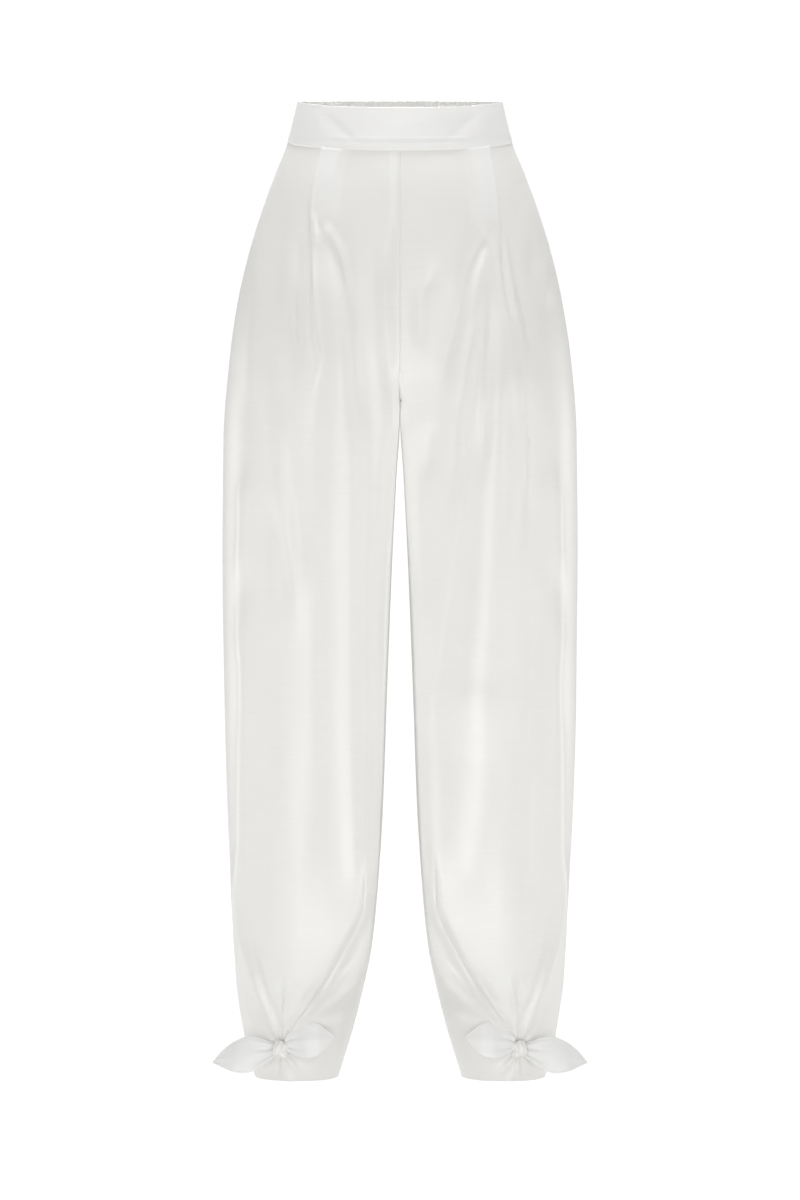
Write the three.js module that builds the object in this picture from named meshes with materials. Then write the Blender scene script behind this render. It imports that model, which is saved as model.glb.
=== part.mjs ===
// High-waisted trousers, wide through the leg and tied in at the ankles, hollow and filled out as if worn.
// Millimetres. The origin is on the waist's axis at half the waistband's height. +X is the wearer's left,
// the front faces -Y and +Z is up.
import * as THREE from "three";

// Driving dimensions
const clothThickness = 2;
const bandThickness = 2.6;
const seamGap = 0.3;
const bandTop = 22;
const bandBottom = -22;
const crotchHeight = -285;
const hemHeight = -1030;
const waistDip = { top: 16, bottom: 18 };
const waistRise = { top: 10, bottom: 10 };
const dipFadesOver = 170;
const roundness = 2.2;
const crotchSquareness = 4.5;
const pleatLayers = 2.4;
const pleatStripWidth = 21;
const pleatStitchedTo = -98;
const pleatReleasedTo = -285;
const slitTop = -1000;
const elasticRipples = 18;
const elasticRippleDepth = 1.3;

// Each section: its height at the outseam, the outseam's distance from the centre plane, how far the front
// and the back stand out from the plane of the outseams, and how square the section's inner half is
const sections = [
  { height: 22, out: 109.6, front: 78, back: 84, square: 2.2 },
  { height: -22, out: 120.8, front: 87, back: 93, square: 2.2 },
  { height: -63, out: 137, front: 95, back: 105, square: 2.2 },
  { height: -106, out: 152, front: 101, back: 115, square: 2.2 },
  { height: -150, out: 165, front: 106, back: 122, square: 2.3 },
  { height: -193, out: 174.5, front: 110, back: 127, square: 2.8 },
  { height: -258, out: 184, front: 114, back: 129, square: 3.8 },
  { height: -344, out: 190.6, front: 116, back: 125, square: 4 },
  { height: -474, out: 191.7, front: 113, back: 115, square: 3.1 },
  { height: -625, out: 189.5, front: 108, back: 106, square: 2.5 },
  { height: -733, out: 186.5, front: 103, back: 100, square: 2.3 },
  { height: -841, out: 181.4, front: 95, back: 92, square: 2.2 },
  { height: -927, out: 176.6, front: 81, back: 79, square: 2.2 },
  { height: -981, out: 169, front: 68, back: 70, square: 2.2 },
  { height: -1010, out: 164, front: 61, back: 64, square: 2.2 },
  { height: -1030, out: 157, front: 57, back: 61, square: 2.2 },
];

// The inseam's distance from the centre plane, below the crotch
const inseam = [
  { height: -285, x: 0.6 },
  { height: -331, x: 0.8 },
  { height: -387, x: 3.8 },
  { height: -474, x: 8.1 },
  { height: -625, x: 14 },
  { height: -733, x: 17.8 },
  { height: -819, x: 23.2 },
  { height: -884, x: 29.7 },
  { height: -927, x: 37.8 },
  { height: -970, x: 48 },
  { height: -1014, x: 61 },
  { height: -1030, x: 66 },
];

// The line that each front folds on, from the pleat's edge at the waist down to the ankle's slit: its
// height, its distance from the centre plane and the width of the cloth strip along it
const pleatLines = {
  left: [
    { height: -22, x: 96, strip: 1 },
    { height: -61, x: 102, strip: 1 },
    { height: -115, x: 106, strip: 1.5 },
    { height: -210, x: 114, strip: 4 },
    { height: -306, x: 126, strip: 8 },
    { height: -538, x: 130, strip: 10 },
    { height: -780, x: 122.7, strip: 10 },
    { height: -960, x: 124, strip: 6 },
    { height: -1000, x: 124, strip: 3 },
    { height: -1030, x: 119, strip: 3 },
  ],
  right: [
    { height: -22, x: 84, strip: 1 },
    { height: -61, x: 92.5, strip: 1 },
    { height: -101, x: 96, strip: 1.5 },
    { height: -179, x: 91.6, strip: 4 },
    { height: -290, x: 85, strip: 8 },
    { height: -517, x: 88.3, strip: 10 },
    { height: -791, x: 97, strip: 10 },
    { height: -960, x: 122, strip: 6 },
    { height: -1000, x: 124, strip: 3 },
    { height: -1030, x: 119, strip: 3 },
  ],
};

// The largest folds of each panel: where each starts and ends, the middle it bows through, how far it
// stands out (a ridge) or lies in (below 0, a valley), and half its width. Points are [x, height].
const folds = {
  leftFront: [
    { name: "thigh ridge", start: [69, -345], middle: [45, -490], end: [31, -640], lift: 5, reach: 15 },
    { name: "inner ridge", start: [31, -600], middle: [32, -730], end: [40, -850], lift: 5, reach: 14 },
    { name: "ankle diagonal", start: [40, -845], middle: [78, -912], end: [112, -960], lift: 6, reach: 13 },
    { name: "pleat valley", start: [97, -200], middle: [86, -400], end: [62, -625], lift: -5, reach: 14 },
    { name: "outer valley", start: [126, -290], middle: [130, -540], end: [121, -880], lift: -4, reach: 16 },
    { name: "outer ridge", start: [142, -560], middle: [144, -700], end: [142, -850], lift: 4, reach: 16 },
    { name: "outer diagonal", start: [168, -868], middle: [156, -925], end: [141, -966], lift: 4, reach: 11 },
  ],
  rightFront: [
    { name: "inner ridge", start: [22, -330], middle: [28, -520], end: [37, -840], lift: 5, reach: 14 },
    { name: "ankle diagonal", start: [39, -845], middle: [77, -912], end: [112, -960], lift: 6, reach: 13 },
    { name: "pleat ridge", start: [82, -140], middle: [59, -400], end: [57, -800], lift: 5, reach: 14 },
    { name: "pleat valley", start: [86, -290], middle: [88, -520], end: [97, -800], lift: -6, reach: 15 },
    { name: "hip ridge", start: [118, -130], middle: [108, -270], end: [100, -560], lift: 4, reach: 14 },
    { name: "hip valley", start: [134, -160], middle: [122, -330], end: [110, -440], lift: -4, reach: 14 },
    { name: "outer diagonal", start: [168, -868], middle: [156, -925], end: [141, -966], lift: 4, reach: 11 },
  ],
  leftBack: [
    { name: "seat ridge", start: [76, -70], middle: [84, -180], end: [80, -330], lift: 4, reach: 15 },
    { name: "knee ridge", start: [52, -380], middle: [60, -560], end: [70, -860], lift: 5, reach: 17 },
    { name: "knee valley", start: [88, -300], middle: [98, -520], end: [100, -820], lift: -5, reach: 17 },
    { name: "outer ridge", start: [132, -260], middle: [134, -480], end: [128, -760], lift: 4, reach: 16 },
  ],
  rightBack: [
    { name: "seat ridge", start: [60, -64], middle: [70, -170], end: [74, -300], lift: 4, reach: 15 },
    { name: "knee ridge", start: [66, -350], middle: [74, -600], end: [66, -880], lift: 5, reach: 17 },
    { name: "knee valley", start: [100, -260], middle: [106, -500], end: [96, -780], lift: -5, reach: 17 },
    { name: "outer ridge", start: [142, -300], middle: [138, -540], end: [124, -840], lift: 4, reach: 16 },
  ],
};

// How many rows of cloth lie between one height and the next
const rowStretches = [
  { from: bandBottom - seamGap, to: pleatStitchedTo, rows: 3 },
  { from: pleatStitchedTo, to: -240, rows: 4 },
  { from: -240, to: crotchHeight, rows: 3 },
  { from: crotchHeight, to: -345, rows: 1 },
  { from: -345, to: -845, rows: 6 },
  { from: -845, to: -940, rows: 3 },
  { from: -940, to: slitTop, rows: 4 },
  { from: slitTop, to: hemHeight, rows: 1 },
];
const frontColumns = { inner: 9, outer: 7 };
const backColumns = 14;

// The tie's knot and its two leaf-shaped ends, for the left ankle. Points are [x, y, height].
const knot = { centre: [126.6, -67, -995], radii: [8.6, 7.2, 10.6], dent: 8, dentReach: 19 };
const tieThickness = 2.2;
const tails = {
  outer_tail: { root: [138.4, -66, -998], middle: [164, -72, -994], tip: [199, -56, -1009], cup: 5 },
  inner_tail: { root: [114.2, -67, -994], middle: [100, -78, -984], tip: [70, -70, -980], cup: 5 },
};
const leafWidths = [
  { along: 0, width: 11 },
  { along: 0.22, width: 27 },
  { along: 0.5, width: 38 },
  { along: 0.78, width: 27 },
  { along: 1, width: 1.4 },
];
const leafGrid = { along: 9, across: 4 };

// A smooth value from a table's rows: a cubic between rows, level where the values turn round
function smoothValue(table, at, key, value) {
  const direction = Math.sign(table[table.length - 1][at.key] - table[0][at.key]);
  const wanted = at.value * direction;
  const places = table.map((row) => row[at.key] * direction);
  const values = table.map((row) => row[key]);
  if (wanted <= places[0]) return values[0];
  const last = places.length - 1;
  if (wanted >= places[last]) return values[last];
  const right = places.findIndex((place) => place > wanted);
  const left = right - 1;
  const rise = (i) => (values[i + 1] - values[i]) / (places[i + 1] - places[i]);
  const slope = (i) => {
    if (i === 0) return rise(0);
    if (i === last) return rise(last - 1);
    const product = rise(i - 1) * rise(i);
    return product > 0 ? (2 * product) / (rise(i - 1) + rise(i)) : 0;
  };
  const span = places[right] - places[left];
  const t = (wanted - places[left]) / span;
  const fromLeft = (1 + 2 * t) * (1 - t) ** 2 * values[left] + t * (1 - t) ** 2 * span * slope(left);
  const fromRight = t * t * (3 - 2 * t) * values[right] + t * t * (t - 1) * span * slope(right);
  return fromLeft + fromRight;
}

function fade(value, from, to) {
  return THREE.MathUtils.smoothstep(value, Math.min(from, to), Math.max(from, to));
}

// The garment's section at one height: where its middle is, its half-width and its two depths. Above the
// crotch the sections of the two legs run into each other, so that they join in one ring at the waist.
function sectionAt(height) {
  const along = (key) => smoothValue(sections, { key: "height", value: height }, key);
  const out = along("out");
  const square = along("square");
  let inner = 0;
  if (height > crotchHeight) {
    const down = THREE.MathUtils.clamp((bandBottom - height) / (bandBottom - crotchHeight), 0, 1);
    const rise = (1 - down ** crotchSquareness) ** (1 / crotchSquareness);
    const reach = (1 - rise ** square) ** (1 / square);
    inner = (-out * (1 - reach)) / (1 + reach);
  } else {
    inner = smoothValue(inseam, { key: "height", value: height }, "x");
  }
  const depth = { front: along("front"), back: along("back") };
  return { height, out, inner, square, middle: (out + inner) / 2, half: (out - inner) / 2, depth };
}

// Round a section, the turn is 0 at the outseam and half a turn at the inner edge
function turnAtX(section, x) {
  const across = THREE.MathUtils.clamp((x - section.middle) / section.half, -1, 1);
  const power = across < 0 ? section.square : roundness;
  return Math.acos(Math.sign(across) * Math.abs(across) ** (power / 2));
}

// The turn at which a face's edge stands half a seam's gap from the plane of the outseams
function seamTurn(section, face, power) {
  return Math.asin((seamGap / 2 / section.depth[face]) ** (power / 2));
}

// How far the waist's seams dip at the front and rise at the back, fading out below the hips
function waistTilt(height, face) {
  const upper = THREE.MathUtils.clamp((height - bandBottom) / (bandTop - bandBottom), 0, 1);
  const tilt = face === "front" ? waistDip : waistRise;
  const amount = THREE.MathUtils.lerp(tilt.bottom, tilt.top, upper);
  const fading = fade(height, bandBottom - dipFadesOver, bandBottom);
  return (face === "front" ? -amount : amount) * fading;
}

function pointOnForm(height, turn, face) {
  const section = sectionAt(height);
  const cos = Math.cos(turn);
  const sin = Math.sin(turn);
  const power = cos < 0 ? section.square : roundness;
  const x = section.middle + section.half * Math.sign(cos) * Math.abs(cos) ** (2 / power);
  const outwards = section.depth[face] * sin ** (2 / power);
  const y = face === "front" ? -outwards : outwards;
  return new THREE.Vector3(x, y, height + waistTilt(height, face) * sin);
}

function normalOnForm(height, turn, face, level) {
  const step = 0.02;
  const nearTurn = THREE.MathUtils.clamp(turn, step, Math.PI - step);
  const around = pointOnForm(height, nearTurn + step / 2, face);
  around.sub(pointOnForm(height, nearTurn - step / 2, face));
  const upwards = pointOnForm(height + 1, nearTurn, face).sub(pointOnForm(height - 1, nearTurn, face));
  const normal = around.cross(upwards).multiplyScalar(face === "front" ? -1 : 1).normalize();
  if (level) normal.setZ(0).normalize();
  return normal;
}

// How far one fold moves the cloth at a point: a soft bank round the fold's bowed line, faded at both ends
function foldLift(fold, x, height) {
  const [startX, startHeight] = fold.start;
  const [endX, endHeight] = fold.end;
  const along = (startHeight - height) / (startHeight - endHeight);
  if (along < -0.1 || along > 1.1) return 0;
  const middleAlong = (startHeight - fold.middle[1]) / (startHeight - endHeight);
  const bow = (fold.middle[0] - startX - (endX - startX) * middleAlong) / (middleAlong * (1 - middleAlong));
  const lineX = startX + (endX - startX) * along + bow * along * (1 - along);
  const bank = Math.exp(-(((x - lineX) / fold.reach) ** 2));
  return fold.lift * bank * fade(along, -0.1, 0.15) * (1 - fade(along, 0.85, 1.1));
}

function knotDent(x, height, face) {
  if (face === "back") return 0;
  const away = Math.hypot(x - knot.centre[0], height - knot.centre[2]);
  return -knot.dent * Math.exp(-((away / knot.dentReach) ** 2));
}

// The pleat's folded layers stand out as a strip that ends in a step at the fold's edge. Below its
// stitching the strip widens and sinks away.
function pleatStep(x, height, edgeX) {
  if (x > edgeX + 0.01) return 0;
  const released = fade(height, pleatReleasedTo, pleatStitchedTo);
  const width = pleatStripWidth * (2 - released);
  const inside = 1 - THREE.MathUtils.smoothstep(edgeX - x, width * 0.8, width);
  return pleatLayers * released * inside;
}

function evenly(from, to, count) {
  return Array.from({ length: count }, (_, i) => from + ((to - from) * i) / count);
}

function rowHeights() {
  const heights = rowStretches.flatMap((stretch) => evenly(stretch.from, stretch.to, stretch.rows));
  return [...heights, hemHeight];
}

// The turns at which one row's points stand, from the panel's inner edge to the outseam
function columnTurns(section, side, face) {
  const outer = seamTurn(section, face, roundness);
  const innermost = Math.PI - seamTurn(section, face, section.square);
  const inner = Math.min(turnAtX(section, seamGap / 2), innermost);
  if (face === "back") return [...evenly(inner, outer, backColumns), outer];
  const at = { key: "height", value: section.height };
  const edgeX = smoothValue(pleatLines[side], at, "x");
  const strip = smoothValue(pleatLines[side], at, "strip");
  const edge = turnAtX(section, edgeX);
  const beyond = turnAtX(section, edgeX + strip);
  const inside = evenly(inner, edge, frontColumns.inner);
  return [...inside, edge, ...evenly(beyond, outer, frontColumns.outer), outer];
}

// A closed wall of cloth from an outer and an inner sheet of points, rimmed wherever a cell has no
// neighbour. Open cells leave a slit.
function wallGeometry(outer, inner, isOpen = () => false) {
  const rows = outer.length;
  const columns = outer[0].length;
  const positions = [...outer.flat(), ...inner.flat()].flatMap((point) => [point.x, point.y, point.z]);
  const triangles = [];
  const solid = (r, c) => r >= 0 && c >= 0 && r < rows - 1 && c < columns - 1 && !isOpen(r, c);
  const index = (r, c) => r * columns + c;
  const behind = rows * columns;
  const rim = (a, b) => triangles.push([a, b + behind, b], [a, a + behind, b + behind]);
  for (let r = 0; r < rows - 1; r += 1) {
    for (let c = 0; c < columns - 1; c += 1) {
      if (!solid(r, c)) continue;
      const [a, b] = [index(r, c), index(r, c + 1)];
      const [d, e] = [index(r + 1, c), index(r + 1, c + 1)];
      triangles.push([a, b, e], [a, e, d]);
      triangles.push([a + behind, e + behind, b + behind], [a + behind, d + behind, e + behind]);
      if (!solid(r - 1, c)) rim(a, b);
      if (!solid(r, c + 1)) rim(b, e);
      if (!solid(r + 1, c)) rim(e, d);
      if (!solid(r, c - 1)) rim(d, a);
    }
  }
  return closedGeometry(positions, triangles);
}

// Faces are turned to point outwards, whichever way round the sheets were laid
function closedGeometry(positions, triangles) {
  const corner = (i) => new THREE.Vector3().fromArray(positions, i * 3);
  const volumes = triangles.map(([a, b, c]) => corner(a).dot(corner(b).cross(corner(c))));
  const inwards = volumes.reduce((sum, volume) => sum + volume, 0) < 0;
  const faces = triangles.map(([a, b, c]) => (inwards ? [a, c, b] : [a, b, c]));
  const geometry = new THREE.BufferGeometry();
  geometry.setAttribute("position", new THREE.Float32BufferAttribute(positions, 3));
  geometry.setIndex(faces.flat());
  geometry.computeVertexNormals();
  return geometry;
}

function mirrored(sheet, side) {
  const sign = side === "left" ? 1 : -1;
  return sheet.map((row) => row.map((point) => new THREE.Vector3(point.x * sign, point.y, point.z)));
}

// Keeps a panel's points on its own side of the centre plane and of the plane of the outseams
function behindSeams(point, face) {
  const clear = seamGap / 2;
  point.x = Math.max(point.x, clear);
  point.y = face === "front" ? Math.min(point.y, -clear) : Math.max(point.y, clear);
  return point;
}

function legPanel(side, face) {
  const name = face === "front" ? "Front" : "Back";
  const outer = [];
  const inner = [];
  for (const height of rowHeights()) {
    const section = sectionAt(height);
    const edgeX = smoothValue(pleatLines[side], { key: "height", value: height }, "x");
    const level = height > bandBottom - 1 || height < hemHeight + 1;
    const outerRow = [];
    const innerRow = [];
    for (const turn of columnTurns(section, side, face)) {
      const point = pointOnForm(height, turn, face);
      const normal = normalOnForm(height, turn, face, level);
      const lifts = folds[side + name].map((fold) => foldLift(fold, point.x, height));
      const lift = lifts.reduce((sum, one) => sum + one, 0) + knotDent(point.x, height, face);
      const layers = face === "front" ? pleatStep(point.x, height, edgeX) : 0;
      outerRow.push(behindSeams(point.clone().addScaledVector(normal, lift + layers), face));
      innerRow.push(behindSeams(point.clone().addScaledVector(normal, lift - clothThickness), face));
    }
    outer.push(outerRow);
    inner.push(innerRow);
  }
  const slitRow = outer.length - 2;
  const isSlit = (r, c) => face === "front" && r >= slitRow && c === frontColumns.inner;
  return wallGeometry(mirrored(outer, side), mirrored(inner, side), isSlit);
}

// The front of the waistband is smooth and the back is drawn up in ripples by its elastic
function waistband(face) {
  const columns = face === "front" ? 24 : elasticRipples * 3;
  const outer = [];
  const inner = [];
  for (const height of [bandTop, (bandTop + bandBottom) / 2, bandBottom]) {
    const section = sectionAt(height);
    const ring = { ...section, inner: -section.out, middle: 0, half: section.out };
    const end = seamTurn(ring, face, roundness);
    const turns = [...evenly(end, Math.PI - end, columns), Math.PI - end];
    const points = turns.map((turn) => pointOnForm(height, turn, face));
    const normals = turns.map((turn) => normalOnForm(height, turn, face, true));
    const ripple = (i) => (face === "back" ? elasticRippleDepth * Math.sin((i / 3) * 2 * Math.PI) : 0);
    const held = (i) => Math.sin((i / columns) * Math.PI);
    const moved = (by) => points.map((point, i) => {
      const place = point.clone().addScaledVector(normals[i], by + ripple(i) * held(i));
      place.y = face === "front" ? Math.min(place.y, -seamGap / 2) : Math.max(place.y, seamGap / 2);
      return place;
    });
    outer.push(moved(0));
    inner.push(moved(-bandThickness));
  }
  return wallGeometry(outer, inner);
}

function knotGeometry(side) {
  const around = 14;
  const along = 9;
  const [radiusX, radiusY, radiusZ] = knot.radii;
  const sign = side === "left" ? 1 : -1;
  const positions = [];
  const triangles = [];
  for (let ring = 1; ring < along; ring += 1) {
    const tilt = (Math.PI * ring) / along;
    for (let i = 0; i < around; i += 1) {
      const turn = (2 * Math.PI * i) / around;
      const pinch = 1 + 0.07 * Math.cos(3 * turn + 2 * tilt);
      const x = knot.centre[0] + radiusX * pinch * Math.sin(tilt) * Math.cos(turn);
      const y = knot.centre[1] + radiusY * pinch * Math.sin(tilt) * Math.sin(turn);
      positions.push(x * sign, y, knot.centre[2] + radiusZ * Math.cos(tilt));
    }
  }
  const top = (along - 1) * around;
  const bottom = top + 1;
  positions.push(knot.centre[0] * sign, knot.centre[1], knot.centre[2] + radiusZ);
  positions.push(knot.centre[0] * sign, knot.centre[1], knot.centre[2] - radiusZ);
  for (let i = 0; i < around; i += 1) {
    const next = (i + 1) % around;
    triangles.push([top, i, next]);
    for (let ring = 0; ring < along - 2; ring += 1) {
      const [a, b] = [ring * around + i, ring * around + next];
      triangles.push([a, a + around, b + around], [a, b + around, b]);
    }
    const low = (along - 2) * around;
    triangles.push([bottom, low + next, low + i]);
  }
  return closedGeometry(positions, triangles);
}

// A leaf-shaped tie end that stands out from the knot, cupped towards the leg
function tailGeometry(side, tail) {
  const route = [tail.root, tail.middle, tail.tip].map((place) => new THREE.Vector3(...place));
  const spine = new THREE.QuadraticBezierCurve3(...route);
  const outer = [];
  const inner = [];
  for (let i = 0; i <= leafGrid.along; i += 1) {
    const along = i / leafGrid.along;
    const centre = spine.getPoint(along);
    const width = smoothValue(leafWidths, { key: "along", value: along }, "width");
    const ahead = spine.getTangent(along);
    const across = new THREE.Vector3(0, 1, 0).cross(ahead).normalize();
    const facing = across.clone().cross(ahead).normalize();
    if (facing.y > 0) facing.negate();
    const outerRow = [];
    const innerRow = [];
    for (let j = 0; j <= leafGrid.across; j += 1) {
      const off = (2 * j) / leafGrid.across - 1;
      const point = centre.clone().addScaledVector(across, (off * width) / 2);
      point.addScaledVector(facing, tail.cup * (width / 38) * (1 - off * off));
      outerRow.push(point.clone().addScaledVector(facing, tieThickness / 2));
      innerRow.push(point.clone().addScaledVector(facing, -tieThickness / 2));
    }
    outer.push(outerRow);
    inner.push(innerRow);
  }
  return wallGeometry(mirrored(outer, side), mirrored(inner, side));
}

const clothLook = { roughness: 0.62, metalness: 0 };
const clothMaterial = new THREE.MeshStandardMaterial({ color: 0xe9e8e3, ...clothLook });
const bandMaterial = new THREE.MeshStandardMaterial({ color: 0xebeae6, ...clothLook });

const trousers = new THREE.Group();
function addPiece(name, geometry, material) {
  const piece = new THREE.Mesh(geometry, material);
  piece.name = name;
  trousers.add(piece);
}

addPiece("waistband_front", waistband("front"), bandMaterial);
addPiece("waistband_back", waistband("back"), bandMaterial);
for (const side of ["left", "right"]) {
  addPiece(`front_leg_${side}`, legPanel(side, "front"), clothMaterial);
  addPiece(`back_leg_${side}`, legPanel(side, "back"), clothMaterial);
  addPiece(`knot_${side}`, knotGeometry(side), clothMaterial);
  for (const tail of Object.keys(tails)) {
    addPiece(`${tail}_${side}`, tailGeometry(side, tails[tail]), clothMaterial);
  }
}

export default trousers;
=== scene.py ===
"""Shalwar trousers with a high waistband and tied ankles: the finished cloth round the CAD frame."""

import math
from collections import namedtuple

import bmesh
import bpy
import numpy as np
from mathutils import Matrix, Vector


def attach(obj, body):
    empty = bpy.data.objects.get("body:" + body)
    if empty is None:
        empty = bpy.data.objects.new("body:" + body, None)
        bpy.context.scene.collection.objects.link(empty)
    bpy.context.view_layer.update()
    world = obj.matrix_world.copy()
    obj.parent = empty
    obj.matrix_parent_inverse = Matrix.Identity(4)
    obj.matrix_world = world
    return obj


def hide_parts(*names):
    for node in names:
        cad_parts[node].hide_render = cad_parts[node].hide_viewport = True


bl_info = {
    "name": "Tied Shalwar",
    "version": (1, 0, 0),
    "blender": (4, 5, 0),
    "location": "View3D > Sidebar > Shalwar",
    "description": "Models a pair of high-waisted trousers with tied ankles, piece by piece",
    "category": "Add Mesh",
}

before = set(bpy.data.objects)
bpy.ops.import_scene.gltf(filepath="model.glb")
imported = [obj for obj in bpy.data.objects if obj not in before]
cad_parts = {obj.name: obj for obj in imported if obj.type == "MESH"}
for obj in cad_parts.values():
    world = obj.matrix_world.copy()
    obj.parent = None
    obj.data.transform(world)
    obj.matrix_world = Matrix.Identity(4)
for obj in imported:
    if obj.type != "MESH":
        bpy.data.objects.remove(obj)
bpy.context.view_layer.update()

# Lengths in the tables are millimetres of the garment, with the origin in the middle of the waist, heights
# up from it, and x out from the centre plane. Both legs are drawn as the left one, and the right is turned
# over.
MM = 0.001
BAND_TOP = 22.0
BAND_BOTTOM = -22.0
CROTCH = -285.0
HEM = -1030.0
WAIST_DIP = (18.0, 16.0)
WAIST_RISE = (10.0, 10.0)
DIP_FADES_OVER = 170.0
ROUNDNESS = 2.2
CROTCH_SQUARENESS = 4.5
FLAT_INSIDE = 20.0
TOUCHING_EXTRA = 28.0
SEAM_HALF = 0.01
SLIT_TOP = -1003.0
INNER_LEAN = 5.0
INNER_VALLEY = 9.0
FLAT_FROM = 9.0

# Where something starts and where it stops, each as the two places it fades between: down from the waist, or
# out from the centre plane for the seam's allowance
HANGS_FREE = ((110, 300), (840, 960))
LEGS_TOUCH = ((230, 300), (400, 480))
LEGS_PRESS = ((268, 288), (318, 345))
LEANS_ASIDE = ((300, 400), (740, 860))
LEANS_BACK = ((220, 330), (640, 860))
# The heights where the drawn-in cloth at the ankle gets its painted light
PAINTED_LIGHT_DRAWN_IN = ((760, 920), (978, 992))
ALLOWANCE = ((2.5, 4.5), (11, 13))

# The two places that a single change fades between
INNER_EDGE_SETTLES = (285, 375)
CORNER_HOLDS = (280, 340)
BAND_LETS_GO = (20, 52)
SIDE_SEAM_LETS_GO = (0, 11)
CENTRE_SEAM_LETS_GO = (0, 9)
FACES_FORWARD = (0.35, 0.85)
STITCHED_DOWN_TO = (-112, -100)
ALLOWANCE_DOWN_TO = (-118, -92)
PRESSED_BACK_FROM = (5, 12)

# The knot's middle: its distance out and its height
KNOT = (126.6, -995.0)
# The faint ridge pressed beside the pleat's edge: how high, how far back from the edge, and how wide
PRESS_LIFT, PRESS_BACK, PRESS_WIDTH = 0.4, 2.4, 1.6
# How much the centre seam's allowance stands up, and how far the panels tuck in under the band
ALLOWANCE_LIFT = 0.35
BAND_TUCK = 1.2

# How far each part counts as doubled cloth, from 0 for one layer to 1. The drawn-in cloth at the ankle is one
# layer: its share is painted light, the paler tone painted on the V's middle where it faces the lights
DOUBLED_AND_PAINTED_LIGHT = {"band": 0.8, "tie": 0.8, "drawn": 0.5, "knot": 0.25, "hem": 0.2}

# How far a leg's middle is from the centre plane, in metres
LEG_MIDDLE = 0.1

Section = namedtuple("Section", "height out front back square")
SECTIONS = (
    Section(22, 109.6, 78, 84, 2.2),
    Section(-22, 120.8, 87, 93, 2.2),
    Section(-63, 137, 95, 105, 2.2),
    Section(-106, 152, 101, 115, 2.2),
    Section(-150, 165, 106, 122, 2.3),
    Section(-193, 174.5, 110, 127, 2.8),
    Section(-258, 184, 114, 129, 3.8),
    Section(-344, 190.6, 116, 125, 4.0),
    Section(-474, 191.7, 113, 115, 3.7),
    Section(-625, 189.5, 108, 106, 3.3),
    Section(-733, 186.5, 103, 100, 3.0),
    Section(-841, 181.4, 95, 92, 2.6),
    Section(-927, 176.6, 81, 79, 2.2),
    Section(-981, 169, 68, 70, 2.2),
    Section(-1010, 164, 61, 64, 2.2),
    Section(-1030, 157, 57, 61, 2.2),
)

Edge = namedtuple("Edge", "height x")
INSEAM = (
    Edge(-285, 0.05),
    Edge(-325, 0.15),
    Edge(-387, 3.8),
    Edge(-474, 8.1),
    Edge(-625, 14),
    Edge(-733, 17.8),
    Edge(-819, 23.2),
    Edge(-884, 29.7),
    Edge(-927, 37.8),
    Edge(-970, 48),
    Edge(-1014, 61),
    Edge(-1030, 66),
)

# A front's folded-over lines, from the waist to the hem: where the fold's edge runs, how far the folded
# layers lie under it (below 0 they are let out), how high they stand, and over what width the top layer sinks
Pleat = namedtuple("Pleat", "height x under raised sink")
PLEATS = {
    "left": (
        Pleat(-14, 95, 20, 0.5, 12),
        Pleat(-24, 96.5, 20, 1.2, 13),
        Pleat(-61, 102, 19, 1.7, 14),
        Pleat(-98, 105, 18, 1.9, 14),
        Pleat(-108, 105.5, 17, 2.0, 13),
        Pleat(-122, 106, 9, 1.9, 12),
        Pleat(-142, 107, 3, 1.3, 9),
        Pleat(-179, 109, 0.8, 1.0, 7),
        Pleat(-211, 114, 0.4, 0.9, 7),
        Pleat(-253, 122.5, -1, 0.6, 7),
        Pleat(-292, 125, -3, 0.3, 8),
        Pleat(-350, 128, -7, 0, 8),
        Pleat(-538, 130, -8, 0, 20),
        Pleat(-780, 122.7, -8, 0, 20),
        Pleat(-960, 124, -4, 0, 10),
        Pleat(-992, 124, 1, 0.8, 5),
        Pleat(-1030, 120, 4, 1.3, 4),
    ),
    "right": (
        Pleat(-14, 83, 19, 0.5, 12),
        Pleat(-24, 84.5, 19, 1.2, 13),
        Pleat(-56, 91.8, 19, 1.7, 14),
        Pleat(-98, 95.5, 18, 1.9, 14),
        Pleat(-108, 95.3, 16, 2.0, 13),
        Pleat(-122, 94.4, 8, 1.9, 12),
        Pleat(-142, 92.8, -1, 0.9, 8),
        Pleat(-181, 90.5, -5, 0.4, 8),
        Pleat(-222, 88.4, -6, 0.2, 8),
        Pleat(-264, 85, -7, 0.1, 8),
        Pleat(-300, 85, -7, 0, 8),
        Pleat(-345, 87, -7, 0, 8),
        Pleat(-517, 88.4, -8, 0, 20),
        Pleat(-791, 97, -8, 0, 20),
        Pleat(-930, 118, -5, 0, 10),
        Pleat(-992, 124, 1, 0.8, 5),
        Pleat(-1030, 120, 4, 1.3, 4),
    ),
}

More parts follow.
